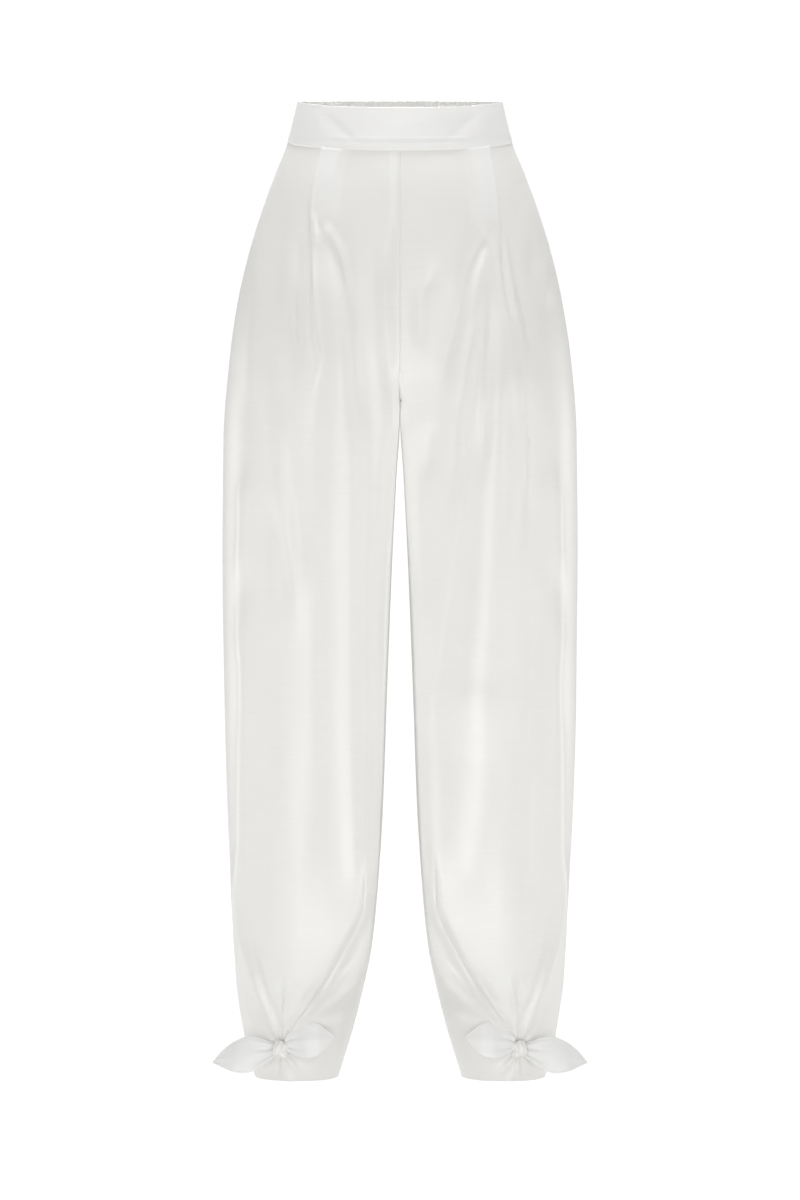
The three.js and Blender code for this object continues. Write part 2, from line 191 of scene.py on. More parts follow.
# The long crease inside the pleat's line, which the tie draws over to the knot at the ankle
ANKLE_DRAG = (
    Pleat(-812, 35, -3, 0.6, 12),
    Pleat(-841, 38, -0.5, 1.2, 14),
    Pleat(-857, 44, 1.0, 1.6, 14),
    Pleat(-877, 55, 1.8, 2.0, 14),
    Pleat(-916, 77, 2.4, 2.4, 14),
    Pleat(-932, 88, 2.6, 2.6, 13),
    Pleat(-946, 97, 2.6, 2.8, 12),
    Pleat(-958, 105.5, 2.2, 2.8, 11),
    Pleat(-969, 113, 1.2, 2.4, 9),
    Pleat(-981, 117, -1, 1.0, 7),
    Pleat(-992, 115, -3, 0.2, 6),
    Pleat(-1030, 104, -4, 0, 6),
)
CREASES = {
    "left": (
        Pleat(-14, 50, -6, 0, 10),
        Pleat(-100, 57, -6, 0, 10),
        Pleat(-190, 70, -7, 0, 10),
        Pleat(-264, 82, -7, 0, 10),
        Pleat(-306, 77, -6, 0, 10),
        Pleat(-369, 68, -6, 0.1, 10),
        Pleat(-433, 59.5, -6, 0.2, 10),
        Pleat(-517, 48, -5, 0.2, 12),
        Pleat(-559, 42, -5, 0.2, 12),
        Pleat(-602, 35.5, -5, 0.3, 12),
        Pleat(-644, 32, -5, 0.3, 12),
        Pleat(-728, 32, -4, 0.4, 12),
    )
    + ANKLE_DRAG,
    "right": (
        Pleat(-14, 28, -6, 0, 10),
        Pleat(-150, 25, -5, 0, 10),
        Pleat(-306, 22, -4, 0, 10),
        Pleat(-411, 25, -5, 0.1, 10),
        Pleat(-517, 30, -5, 0.2, 12),
        Pleat(-644, 31.5, -4, 0.3, 12),
        Pleat(-728, 32.5, -4, 0.4, 12),
    )
    + ANKLE_DRAG,
}

# A fold's line from its top to its end as (height, x), how far it stands out (below 0 it is a trough), how
# far it reaches to its inner and its outer side, and how pinched its crest is (2 is round, 1 sharp)
Fold = namedtuple("Fold", "line lift inner outer crest")
# The ridge beside each outseam, in two stretches that meet above the knee
OUTSEAM_FOLDS = (
    Fold(((-378, 167), (-433, 167), (-504, 170)), 4.5, 12, 7, 2),
    Fold(((-506, 170), (-559, 168), (-601, 165), (-633, 165), (-670, 167), (-781, 168.5), (-818, 168),
          (-852, 166)), 4.5, 12, 7, 2),
)
# The line of the broad ridge down the middle of each leg. Two folds lie along it, and one starts higher up
LEFT_RIDGE = ((-253, 101.5), (-290, 99.5), (-390, 95), (-475, 91), (-580, 83.5), (-623, 79.5),
              (-670, 76))
RIGHT_RIDGE = ((-219, 62), (-255, 58), (-295, 55.5), (-517, 55.5), (-644, 54.5), (-728, 52.5), (-802, 52.5),
               (-852, 55))
FOLDS = {
    "left front": (
        # The ridge's foot, and the long crease that the tie draws down
        Fold(((-612, 87), (-728, 75), (-841, 66)), 8, 34, 32, 2),
        Fold(((-219, 88), (-306, 77.5), (-338, 72), (-401, 63.5), (-517, 48), (-601, 36), (-644, 32),
              (-728, 32), (-785, 34), (-841, 39.5)), 0.9, 8, 8, 2),
        # The fan that leans in from the pleat's end
        Fold(((-109, 104.5), (-139, 87), (-169, 75), (-203, 64.5), (-248, 53), (-287, 43.5)),
             -4.2, 9, 9, 1.6),
        Fold(((-133, 97.5), (-169, 83.5), (-205, 75), (-241, 68)), 1.4, 7, 7, 2),
        Fold(((-198, 85.5), (-232, 78.5), (-264, 73), (-290, 70), (-316, 64.5), (-380, 60.5), (-411, 55)),
             -3, 7, 7, 1.7),
        Fold(((-309, 89), (-335, 81.5), (-375, 74), (-417, 68.5), (-470, 62.5), (-522, 55), (-559, 50),
              (-586, 44.5), (-623, 41.5), (-694, 38.5)), -2.4, 12, 13, 1.8),
        # The ridge, and the trough inside it
        Fold(((-200, 102.5),) + LEFT_RIDGE, 7.5, 34, 32, 2.3),
        Fold(LEFT_RIDGE, 7.5, 34, 32, 2.3),
        Fold(((-188, 96.5), (-295, 90), (-359, 88), (-390, 85.5)), -3.5, 6, 7, 1.6),
        # The small creases that run on from the pleat
        Fold(((-112, 106), (-142, 107), (-206, 113), (-232, 117.5), (-255, 121.5)), -1.5, 2.6, 2.6, 1.7),
        Fold(((-118, 109), (-148, 112), (-174, 116.5), (-253, 129)), 2.4, 3, 4, 1.8),
        Fold(((-130, 114), (-185, 122.5), (-237, 133), (-262, 136.5)), -2, 5, 6, 1.6),
        Fold(((-272, 111), (-316, 112), (-359, 111), (-401, 111), (-448, 110)), -2.6, 6, 6, 1.8),
        Fold(((-251, 115.5), (-311, 122.5), (-348, 125), (-438, 127)), 3, 5, 6, 2),
        Fold(((-272, 122.5), (-306, 126), (-401, 132), (-433, 134.5), (-470, 133)), -2.4, 9, 10, 1.9),
        # The hollows beside the centre seam and the inseam
        Fold(((-158, 38.5), (-179, 30), (-192, 22.5), (-211, 20.5), (-258, 23.5)), -2.6, 9, 9, 1.7),
        Fold(((-330, 33), (-388, 30)), -2.4, 8, 8, 1.8),
        Fold(((-338, 18), (-433, 20.5), (-528, 25.5)), -3, 11, 11, 1.9),
        # The outer side of the leg and the hip
        Fold(((-504, 140.5), (-538, 142.5), (-580, 142.5), (-623, 140.5), (-707, 136.5), (-841, 133)),
             -3, 13, 11, 1.8),
        Fold(((-661, 152), (-781, 147), (-846, 141.5), (-881, 139.5)), 1, 9, 9, 2),
        Fold(((-131, 140.5), (-177, 139.5)), -1.2, 6, 6, 1.6),
        Fold(((-146, 154.5), (-203, 155.5)), 2.2, 7, 7, 2),
        Fold(((-53, 131), (-95, 127), (-132, 126)), -1.4, 10, 10, 1.8),
        Fold(((-327, 153.5), (-433, 156.5), (-517, 153.5)), -2, 14, 9, 1.8),
    )
    + OUTSEAM_FOLDS,
    "right front": (
        # The ridge, and the lower one between it and the inseam
        Fold(RIGHT_RIDGE, 6.4, 17, 36, 2.4),
        Fold(((-160, 70.5), (-186, 66)) + RIGHT_RIDGE, 4.6, 16, 32, 2.4),
        Fold(((-169, 20), (-222, 21), (-306, 16.5), (-348, 16.5), (-411, 17.5), (-454, 20), (-517, 22),
              (-644, 23), (-707, 24), (-760, 26), (-813, 29.5), (-848, 33.5)), 2.6, 9, 11, 2.2),
        # The swell outside the pleat, and the trough that leans in from the pleat's end
        Fold(((-137, 115), (-179, 117), (-216, 117), (-248, 112.5), (-283, 106.5), (-311, 102),
              (-359, 101)), 2, 14, 20, 2),
        Fold(((-102, 94.5), (-115, 86.5), (-132, 73.5), (-150, 65), (-177, 59), (-213, 52.5), (-253, 49.5),
              (-295, 46), (-348, 45)), -6, 8, 9, 1.6),
        # The hollow outside the ridge, and those beside the centre seam and the inseam
        Fold(((-190, 79), (-253, 81), (-290, 85), (-327, 88.5), (-454, 88.5), (-623, 91.5), (-781, 92.5)),
             -1, 9, 9, 1.8),
        Fold(((-118, 8), (-137, 12.5), (-190, 16.5), (-222, 16.5), (-253, 14.5), (-285, 12.5), (-316, 9)),
             -5, 8, 9, 1.8),
        Fold(((-327, 9), (-475, 15.5), (-538, 17.5), (-707, 24), (-760, 25)), -4.5, 8, 8, 1.8),
        # The small creases that run on from the pleat
        Fold(((-186, 109.5), (-232, 107.5), (-253, 104), (-274, 99)), -2.6, 3.2, 4, 1.6),
        Fold(((-186, 98), (-232, 100), (-253, 98), (-274, 93.5)), 2.6, 2.6, 2.6, 1.8),
        Fold(((-137, 93.5), (-163, 91.5), (-200, 90.5), (-237, 87.5), (-262, 85), (-279, 87.5),
              (-297, 92.5)), 1.9, 2.4, 2.4, 1.8),
        Fold(((-108, 96), (-137, 96), (-200, 93.5), (-262, 89.5)), -0.9, 2, 2, 1.8),
        Fold(((-105, 91.5), (-139, 87.5)), 2, 4, 4, 2),
        Fold(((-131, 108.5), (-158, 107.5), (-184, 108.5)), -1.4, 5, 5, 1.6),
        # The outer side of the hip and the leg
        Fold(((-63, 127.5), (-148, 129.5), (-200, 129.5), (-243, 130.5), (-306, 126.5), (-348, 119)),
             -2.4, 13, 13, 1.8),
        Fold(((-129, 151.5), (-169, 153), (-253, 158), (-311, 159)), 2.6, 8, 8, 2),
        Fold(((-388, 131.5), (-459, 119), (-496, 113.5), (-559, 107.5)), 2.4, 8, 8, 2),
        Fold(((-335, 117), (-380, 112.5), (-454, 104), (-494, 102)), -3, 8, 8, 1.8),
        Fold(((-409, 135), (-454, 127.5), (-491, 122), (-530, 119)), -2.6, 8, 9, 1.8),
    )
    + OUTSEAM_FOLDS,
    "left back": (
        Fold(((-40, 52), (-130, 60), (-240, 66), (-330, 64)), 4.2, 14, 16, 1.9),
        Fold(((-60, 96), (-160, 104), (-280, 98)), -3.6, 12, 14, 1.9),
        Fold(((-330, 44), (-450, 50), (-600, 46), (-760, 52), (-850, 60)), 6.5, 14, 11, 1.7),
        Fold(((-280, 70), (-420, 76), (-560, 74), (-720, 78), (-820, 84)), -5.7, 12, 13, 1.7),
        Fold(((-300, 104), (-450, 108), (-620, 104), (-800, 110)), 5.5, 12, 15, 1.8),
        Fold(((-240, 138), (-400, 140), (-560, 136), (-700, 138)), -4.4, 14, 13, 1.9),
        Fold(((-520, 158), (-650, 156), (-760, 150)), 3.6, 11, 12, 1.9),
        Fold(((-238, 22), (-262, 34), (-300, 52), (-350, 74)), -3.6, 9, 12, 1.8),
    ),
    "right back": (
        Fold(((-44, 40), (-120, 50), (-210, 58), (-300, 60)), 3.9, 13, 16, 1.9),
        Fold(((-70, 84), (-170, 90), (-300, 86)), -3.4, 12, 14, 1.9),
        Fold(((-310, 52), (-430, 60), (-570, 62), (-700, 56), (-860, 58)), 6.2, 13, 12, 1.7),
        Fold(((-320, 84), (-470, 90), (-630, 88), (-800, 94)), -6, 12, 13, 1.7),
        Fold(((-260, 116), (-380, 122), (-520, 118), (-690, 114)), 5.2, 13, 14, 1.8),
        Fold(((-380, 146), (-520, 148), (-680, 146), (-800, 140)), -4.2, 13, 12, 1.9),
        Fold(((-240, 20), (-266, 38), (-310, 60), (-380, 80)), -3.4, 9, 12, 1.8),
    ),
}

# The two long folds that run down to the knot, and the cloth that they draw in between them
INNER_DRAW = Fold(((-781, 33.5), (-841, 38), (-856, 42.5), (-876, 53), (-932, 84), (-946, 93.5), (-958, 103),
                   (-971, 114.5)), 6.5, 6.5, 4.2, 2)
OUTER_DRAW = Fold(((-791, 174), (-824, 173.5), (-857, 171), (-881, 166), (-906, 158.5), (-945, 144.5),
                   (-979, 136)), 6, 5.5, 5.5, 2)
ANKLE_FOLDS = {
    "front": (
        INNER_DRAW,
        # The small folds beside the inner one
        Fold(((-873, 51), (-912, 72), (-926, 83), (-936, 91.5), (-961, 108.5), (-974, 119)), -2.4, 3, 6, 1.9),
        Fold(((-907, 56), (-939, 78.5)), 1.5, 3.5, 3, 1.9),
        Fold(((-894, 50), (-926, 73)), -1.2, 3, 3, 1.9),
        Fold(((-919, 44.5), (-947, 73), (-957, 87)), 1.8, 4, 4, 1.9),
        Fold(((-939, 40), (-949, 55), (-960, 69), (-968, 83)), -2.4, 8, 7, 1.9),
        Fold(((-959, 53), (-975, 60.5), (-994, 65.5)), 2.2, 6, 8, 2),
        OUTER_DRAW,
        # The small folds beside the outer one
        Fold(((-868, 163.5), (-941, 140.5), (-956, 134), (-973, 128.5)), -2.4, 3.5, 3.5, 1.9),
        Fold(((-892, 151), (-930, 139), (-949, 135)), 1.5, 2.6, 2.6, 1.9),
        Fold(((-900, 170), (-927, 166), (-951, 159.5), (-966, 153)), -2.6, 6, 7, 1.9),
        # Those that come straight down between the two
        Fold(((-913, 125.5), (-938, 126.5), (-958, 128.5)), -1.8, 3.5, 4, 1.9),
        Fold(((-916, 118), (-950, 122), (-968, 125.5)), 1.6, 3, 3, 1.9),
        Fold(((-943, 100), (-964, 117)), 1, 4, 4, 1.9),
    ),
    "back": (
        Fold(((-820, 120), (-900, 118), (-980, 112), (-1020, 110)), 4.2, 12, 14, 1.9),
        Fold(((-840, 90), (-920, 92), (-1010, 94)), -3.6, 10, 11, 1.9),
        Fold(((-860, 146), (-930, 150), (-1000, 146)), -3.9, 9, 10, 1.9),
    ),
}

PANEL_SEEDS = {"left front": 3, "right front": 5, "left back": 7, "right back": 11}

Stretch = namedtuple("Stretch", "top bottom step")
ROWS = (
    Stretch(-16, -30, 1.8),
    Stretch(-30, -330, 3.5),
    Stretch(-330, -800, 6.0),
    Stretch(-800, -930, 3.0),
    Stretch(-930, -1030, 1.9),
)
FRONT_COLUMNS = {"seam": 30, "crease": 12, "middle": 60, "pleat": 18, "outside": 40}
CORNER = 0.75 * math.pi
WALL_SHARE = 0.4
BACK_COLUMNS = 148
# How far from a seam a panel's first and last plain columns lie
SEAM_COLUMN = 5.0
SEAM_ROLL = ((0.01, 4.5), (0.01, 2.2), (0.01, 1.0), (0.05, 0.45), (0.5, 0.2), (1.2, 0.05), (2.6, 0.0))


def smooth_value(table, column, at):
    """Gives a table's column at each height asked for: a cubic between rows, level where it turns round."""
    rows = sorted(table)
    places = np.array([row.height for row in rows], float)
    values = np.array([getattr(row, column) for row in rows], float)
    return smooth_through(places, values, at)


def smooth_through(places, values, at):
    rises = np.diff(values) / np.diff(places)
    slopes = np.zeros_like(values)
    slopes[0], slopes[-1] = rises[0], rises[-1]
    same = rises[:-1] * rises[1:] > 0
    both = np.where(same, rises[:-1] + rises[1:], 1.0)
    slopes[1:-1] = np.where(same, 2 * rises[:-1] * rises[1:] / both, 0.0)
    at = np.clip(at, places[0], places[-1])
    left = np.clip(np.searchsorted(places, at, side="right") - 1, 0, len(places) - 2)
    span = places[left + 1] - places[left]
    t = (at - places[left]) / span
    near = (1 + 2 * t) * (1 - t) ** 2 * values[left] + t * (1 - t) ** 2 * span * slopes[left]
    far = t * t * (3 - 2 * t) * values[left + 1] + t * t * (t - 1) * span * slopes[left + 1]
    return near + far


def fade(value, start, end):
    """Goes smoothly from 0 at start to 1 at end."""
    t = np.clip((value - start) / (end - start), 0.0, 1.0)
    return t * t * (3 - 2 * t)


def within(value, stretch):
    """Fades in over the first two of a stretch's places and out over the last two."""
    start, stop = stretch
    return fade(value, *start) * (1 - fade(value, *stop))


class Form:
    """The garment's sections at an array of heights."""

    def __init__(self, height):
        self.height = np.asarray(height, float)
        self.out = smooth_value(SECTIONS, "out", self.height)
        self.depth = {face: smooth_value(SECTIONS, face, self.height) for face in ("front", "back")}
        square = smooth_value(SECTIONS, "square", self.height)
        hanging = within(-self.height, HANGS_FREE)
        touching = within(-self.height, LEGS_TOUCH)
        self.square = {"front": square + FLAT_INSIDE * hanging + TOUCHING_EXTRA * touching, "back": square}
        down = np.clip((BAND_BOTTOM - self.height) / (BAND_BOTTOM - CROTCH), 0.0, 1.0)
        rise = (1 - down**CROTCH_SQUARENESS) ** (1 / CROTCH_SQUARENESS)
        reach = (1 - rise**square) ** (1 / square)
        above = -self.out * (1 - reach) / (1 + reach)
        self.inner = np.where(self.height > CROTCH, above, smooth_value(INSEAM, "x", self.height))
        self.middle = (self.out + self.inner) / 2
        self.half = (self.out - self.inner) / 2

    def turn_at_x(self, x, face):
        """How far round the section x lies: 0 at the outseam, half a turn at the inner edge."""
        across = np.clip((x - self.middle) / self.half, -1.0, 1.0)
        power = np.where(across < 0, self.square[face], ROUNDNESS)
        outwards = (1 - np.abs(across) ** power) ** (1 / power)
        return np.arctan2(outwards, across)

    def outer_turn(self, face, distance):
        """The turn that lies this far from the outseam."""
        outwards = distance / self.depth[face]
        return np.arctan2(outwards, (1 - outwards**ROUNDNESS) ** (1 / ROUNDNESS))

    def inner_turn(self, face, distance):
        """The turn that lies this far from the centre seam, or from the inseam below the crotch."""
        outwards = distance / self.depth[face]
        inseam = np.arctan2(outwards, -((1 - outwards ** self.square[face]) ** (1 / self.square[face])))
        centre = np.minimum(self.turn_at_x(distance, face), inseam)
        return centre + (inseam - centre) * fade(-self.height, *INNER_EDGE_SETTLES)

    def point(self, turn, face):
        cos, sin = np.cos(turn), np.abs(np.sin(turn))
        power = np.where(cos < 0, self.square[face], ROUNDNESS)
        scale = (np.abs(cos) ** power + sin**power) ** (-1 / power)
        x = self.middle + self.half * cos * scale
        outwards = self.depth[face] * sin * scale
        z = self.height + waist_tilt(self.height, face) * (sin * scale) ** 1.1
        return np.stack([x, -outwards if face == "front" else outwards, z], axis=-1)


def waist_tilt(height, face):
    upper = np.clip((height - BAND_BOTTOM) / (BAND_TOP - BAND_BOTTOM), 0.0, 1.0)
    low, high = WAIST_DIP if face == "front" else WAIST_RISE
    amount = low + (high - low) * upper
    fading = fade(height, BAND_BOTTOM - DIP_FADES_OVER, BAND_BOTTOM)
    return (-amount if face == "front" else amount) * fading


def form_normals(height, turn, face):
    step = 0.02
    near = np.clip(turn, step, np.pi - step)
    form = Form(height)
    around = form.point(near + step / 2, face) - form.point(near - step / 2, face)
    upwards = Form(height + 1).point(near, face) - Form(height - 1).point(near, face)
    normals = np.cross(around, upwards)
    if face == "front":
        normals = -normals
    return normals / np.linalg.norm(normals, axis=-1, keepdims=True)


def fold_lift(fold, x, height):
    """How far one fold moves the cloth: a bank on each side of its line, faded at both ends."""
    line = sorted(fold.line)
    places = np.array([height_ for height_, _ in line], float)
    across = np.array([x_ for _, x_ in line], float)
    line_x = smooth_through(places, across, height)
    slant = (smooth_through(places, across, height + 2) - smooth_through(places, across, height - 2)) / 4
    off = (x - line_x) / np.sqrt(1 + slant**2)
    reach = np.where(off < 0, fold.inner, fold.outer)
    bank = np.exp(-(np.abs(off / reach) ** fold.crest))
    length = places[-1] - places[0]
    run = min(0.3 * length, 60.0)
    ends = fade(height, places[0] - 0.3 * run, places[0] + run)
    ends = ends * fade(-height, -places[-1] - 0.3 * run, -places[-1] + run)
    return fold.lift * bank * ends


def soft_noise(x, z, cell_x, cell_z, seed):
    """Smooth unevenness between -1 and 1, with its own cell size each way."""
    lattice = np.random.default_rng(seed).uniform(-1, 1, (64, 64))
    u, v = x / cell_x, z / cell_z
    i, j = np.floor(u).astype(int), np.floor(v).astype(int)
    s, t = fade(u - i, 0, 1), fade(v - j, 0, 1)
    low = lattice[i % 64, j % 64] * (1 - s) + lattice[(i + 1) % 64, j % 64] * s
    high = lattice[i % 64, (j + 1) % 64] * (1 - s) + lattice[(i + 1) % 64, (j + 1) % 64] * s
    return low * (1 - t) + high * t


def knot_gathers(x, height):
    """The cloth's small folds that fan out from under the knot, and the hollow that it is drawn into."""
    across, below = x - KNOT[0], KNOT[1] - height
    away = np.hypot(across, below)
    bearing = np.arctan2(across, below)
    fan = np.cos(9 * bearing + 1.6 * np.sin(2 * bearing) + 0.7)
    ring = fade(away, 5, 13) * (1 - fade(away, 20, 42))
    return 1.4 * fan * ring - 2.0 * np.exp(-((away / 15) ** 2))


def elastic_ripple(turn, seed):
    """The ruching of the elastic round the back, uneven in width and height, between -1 and 1."""
    along = turn + 0.02 * soft_noise(turn, turn * 0, 0.13, 1, seed)
    wide = np.sin(along * 88 + 1.3 * np.sin(along * 9.3 + seed))
    waves = 0.62 * wide + 0.38 * np.sin(along * 139 + seed)
    return waves * (0.75 + 0.25 * soft_noise(turn, turn * 0 + 3, 0.07, 1, seed + 1))


def cloth_lift(side, face, x, height, turn):
    """A panel's folds with the cloth's own unevenness."""
    folds = FOLDS[side + " " + face] + ANKLE_FOLDS[face]
    lift = sum(fold_lift(fold, x, height) for fold in folds)
    seed = PANEL_SEEDS[side + " " + face]
    lift = lift + 0.9 * soft_noise(x, height, 46, 230, seed)
    lift = lift + 0.35 * soft_noise(x, height, 15, 90, seed + 20)
    ankle = fade(-height, 850, 960)
    lift = lift + ankle * (0.5 * soft_noise(x, height, 9, 22, seed + 40))
    lift = lift + ankle * (0.22 * soft_noise(x + 0.5 * height, height, 4, 9, seed + 60))
    if face == "front":
        lift = lift + knot_gathers(x, height)
    else:
        under_band = fade(height, -120, BAND_BOTTOM) ** 1.6
        lift = lift + 1.1 * under_band * elastic_ripple(turn, 2)
    return lift


def row_heights():
    heights = []
    for stretch in ROWS:
        count = round((stretch.top - stretch.bottom) / stretch.step)
        heights.extend(np.linspace(stretch.top, stretch.bottom, count, endpoint=False))
    return np.array(heights + [HEM])


def spread(start, end, count):
    """Columns spaced evenly from start to just before end, row by row."""
    return start + (end - start) * np.arange(count) / count


def spread_round_corner(start, end, count):
    """Columns from start to end that crowd together at the leg's inner front corner, where there is one."""
    along = np.arange(count) / count
    corner = np.minimum(CORNER, start)
    wall = 1 - (1 - np.clip(along / WALL_SHARE, 0, 1)) ** 2
    front = np.clip((along - WALL_SHARE) / (1 - WALL_SHARE), 0, 1) ** 1.7
    crowded = start + (corner - start) * wall + (end - corner) * front
    even = spread(start, end, count)
    return even + (crowded - even) * fade(start, CORNER, CORNER + 0.35)


def pleat_columns(pleat, count):
    """The folded cloth between the top layer and the under layer: round the fold's edge, back under, and
    round again. Gives each column's x and how high it stands."""
    bend = pleat["raised"] / 4
    bulge = np.clip(pleat["under"] / (2 * bend + 2), 0.0, 1.0)
    t = (np.arange(count) + 0.5) / count
    outer_arc = np.clip(t / 0.4, 0, 1) * np.pi
    inner_arc = np.clip((t - 0.6) / 0.4, 0, 1) * np.pi
    back = np.clip((t - 0.4) / 0.2, 0, 1)
    top_x = pleat["x"] - bend
    low_x = pleat["x"] - pleat["under"] + bend
    x = top_x + (low_x - top_x) * back + bulge * bend * (np.sin(outer_arc) - np.sin(inner_arc))
    height = bend * (2 + np.cos(outer_arc) + np.cos(inner_arc))
    return x, height


def fold_rows(table, height):
    """A folded line's measures at each height, with the x where each of its layers starts."""
    fold = {key: smooth_value(table, key, height) for key in Pleat._fields[1:]}
    bend = fold["raised"] / 4
    fold["top"] = fold["x"] - bend
    fold["low"] = fold["x"] - fold["under"] + bend
    return fold


def top_layer(fold, x):
    """How far a fold lifts the cloth that lies over it, up to its edge."""
    start = fold["x"] - np.maximum(fold["under"], 0) - fold["sink"]
    return fold["raised"] * fade(x, start, start + fold["sink"])


def panel_columns(side, face, form):
    """The turn, the pleats' height and the doubled cloth of every point of a panel, and the seams' edges."""
    inner_roll = [form.inner_turn(face, distance) for distance, _ in SEAM_ROLL]
    outer_roll = [form.outer_turn(face, distance) for distance, _ in SEAM_ROLL]
    roll_in = np.concatenate(inner_roll, axis=1)
    roll_out = np.concatenate(outer_roll[::-1], axis=1)
    sinks = np.array([sink for _, sink in SEAM_ROLL])
    first, last = form.inner_turn(face, SEAM_COLUMN), form.outer_turn(face, SEAM_COLUMN)
    if face == "back":
        between = [spread(first, last, BACK_COLUMNS), last]
        raised = np.zeros((len(form.height), BACK_COLUMNS + 1))
        doubled = np.zeros_like(raised)
    else:
        pleat, crease = fold_rows(PLEATS[side], form.height), fold_rows(CREASES[side], form.height)
        crease_x, crease_raised = pleat_columns(crease, FRONT_COLUMNS["crease"])
        pleat_x, pleat_raised = pleat_columns(pleat, FRONT_COLUMNS["pleat"])
        seam_part = spread_round_corner(first, form.turn_at_x(crease["top"], face), FRONT_COLUMNS["seam"])
        low, top = form.turn_at_x(crease["low"], face), form.turn_at_x(pleat["top"], face)
        middle = spread(low, top, FRONT_COLUMNS["middle"])
        outside = spread(form.turn_at_x(pleat["low"], face), last, FRONT_COLUMNS["outside"])
        creased, pleated = form.turn_at_x(crease_x, face), form.turn_at_x(pleat_x, face)
        between = [seam_part, creased, middle, pleated, outside, last]
        middle_x = form.point(middle, face)[..., 0]
        over_crease = top_layer(crease, form.point(seam_part, face)[..., 0])
        stitched = fade(form.height, *STITCHED_DOWN_TO) * fade(pleat["under"], 0, 4)
        from_edge = middle_x - pleat["x"] + PRESS_BACK
        pressed_edge = PRESS_LIFT * np.exp(-((from_edge / PRESS_WIDTH) ** 2)) * stitched
        over_pleat = top_layer(pleat, middle_x) + pressed_edge
        level = [over_crease, crease_raised, over_pleat, pleat_raised, outside * 0, last * 0]
        raised = np.concatenate(level, axis=1)
        strip = pleat["x"] - pleat["under"]
        folded = fade(middle_x, strip - 5, strip + 1) * stitched
        flat_parts = [over_crease * 0, crease_raised * 0]
        pleat_parts = [folded, pleat_raised * 0 + stitched]
        doubled = np.concatenate([*flat_parts, *pleat_parts, outside * 0, last * 0], axis=1)
    turn = np.concatenate([roll_in, *between, roll_out], axis=1)
    rim = np.zeros((len(form.height), len(SEAM_ROLL)))
    raised = np.concatenate([rim, raised, rim], axis=1)
    doubled = np.concatenate([rim, doubled, rim], axis=1)
    sink = np.concatenate([sinks, np.zeros(turn.shape[1] - 2 * len(sinks)), sinks[::-1]])
    return turn, raised, doubled, np.broadcast_to(sink, turn.shape)


# The hem's turning: how far up it goes from the edge, and how far inside
HEM_TURNING = ((-0.4, 0.25), (-0.5, 0.8), (0.0, 1.3), (5.0, 1.5), (12.0, 1.5), (19.0, 1.6))


def line_at(fold, height):
    """Where a fold's line lies at each height."""
    line = sorted(fold.line)
    places = np.array([height_ for height_, _ in line], float)
    return smooth_through(places, np.array([x_ for _, x_ in line], float), height)


def painted_light_on_drawn_cloth(x, height):
    """Painted light on the cloth between the two long folds that the tie draws in: 1 in their middle."""
    inner, outer = line_at(INNER_DRAW, height), line_at(OUTER_DRAW, height)
    across = fade(x, inner, inner + 14) * (1 - fade(x, outer - 20, outer - 6))
    return across * within(-height, PAINTED_LIGHT_DRAWN_IN)


def inner_lean(form, face, x, y):
    """How far the leg's inner side leans away from the other leg behind its front corner, and how far the
    front slopes back towards that corner."""
    inward = np.clip((form.middle - x) / form.half, 0.0, 1.0)
    forward = np.abs(y) / form.depth["front"] if face == "front" else np.zeros_like(y)
    down = -form.height
    behind = fade(1 - forward, 0.12, 0.6)
    aside = INNER_LEAN * within(down, LEANS_ASIDE) * inward**4 * behind
    back = INNER_VALLEY * within(down, LEANS_BACK) * inward**2 * forward
    return aside, back


def press_legs_together(points, levels):
    """Keeps the front flat right up to the other leg where the two still press together below the crotch."""
    pressed = within(-levels, LEGS_PRESS)[:, 0]
    shallow, deep = PRESSED_BACK_FROM
    for row in np.flatnonzero(pressed > 0):
        x, y = points[row, :, 0], points[row, :, 1]
        after = len(SEAM_ROLL) + np.argmax(x[len(SEAM_ROLL):] > FLAT_FROM)
        share = (FLAT_FROM - x[after - 1]) / (x[after] - x[after - 1])
        flat = y[after - 1] + share * (y[after] - y[after - 1])
        near = np.where(x < FLAT_FROM, fade(-y, -flat - deep, -flat - shallow), 0.0)
        points[row, :, 1] = y + (flat - y) * pressed[row] * near


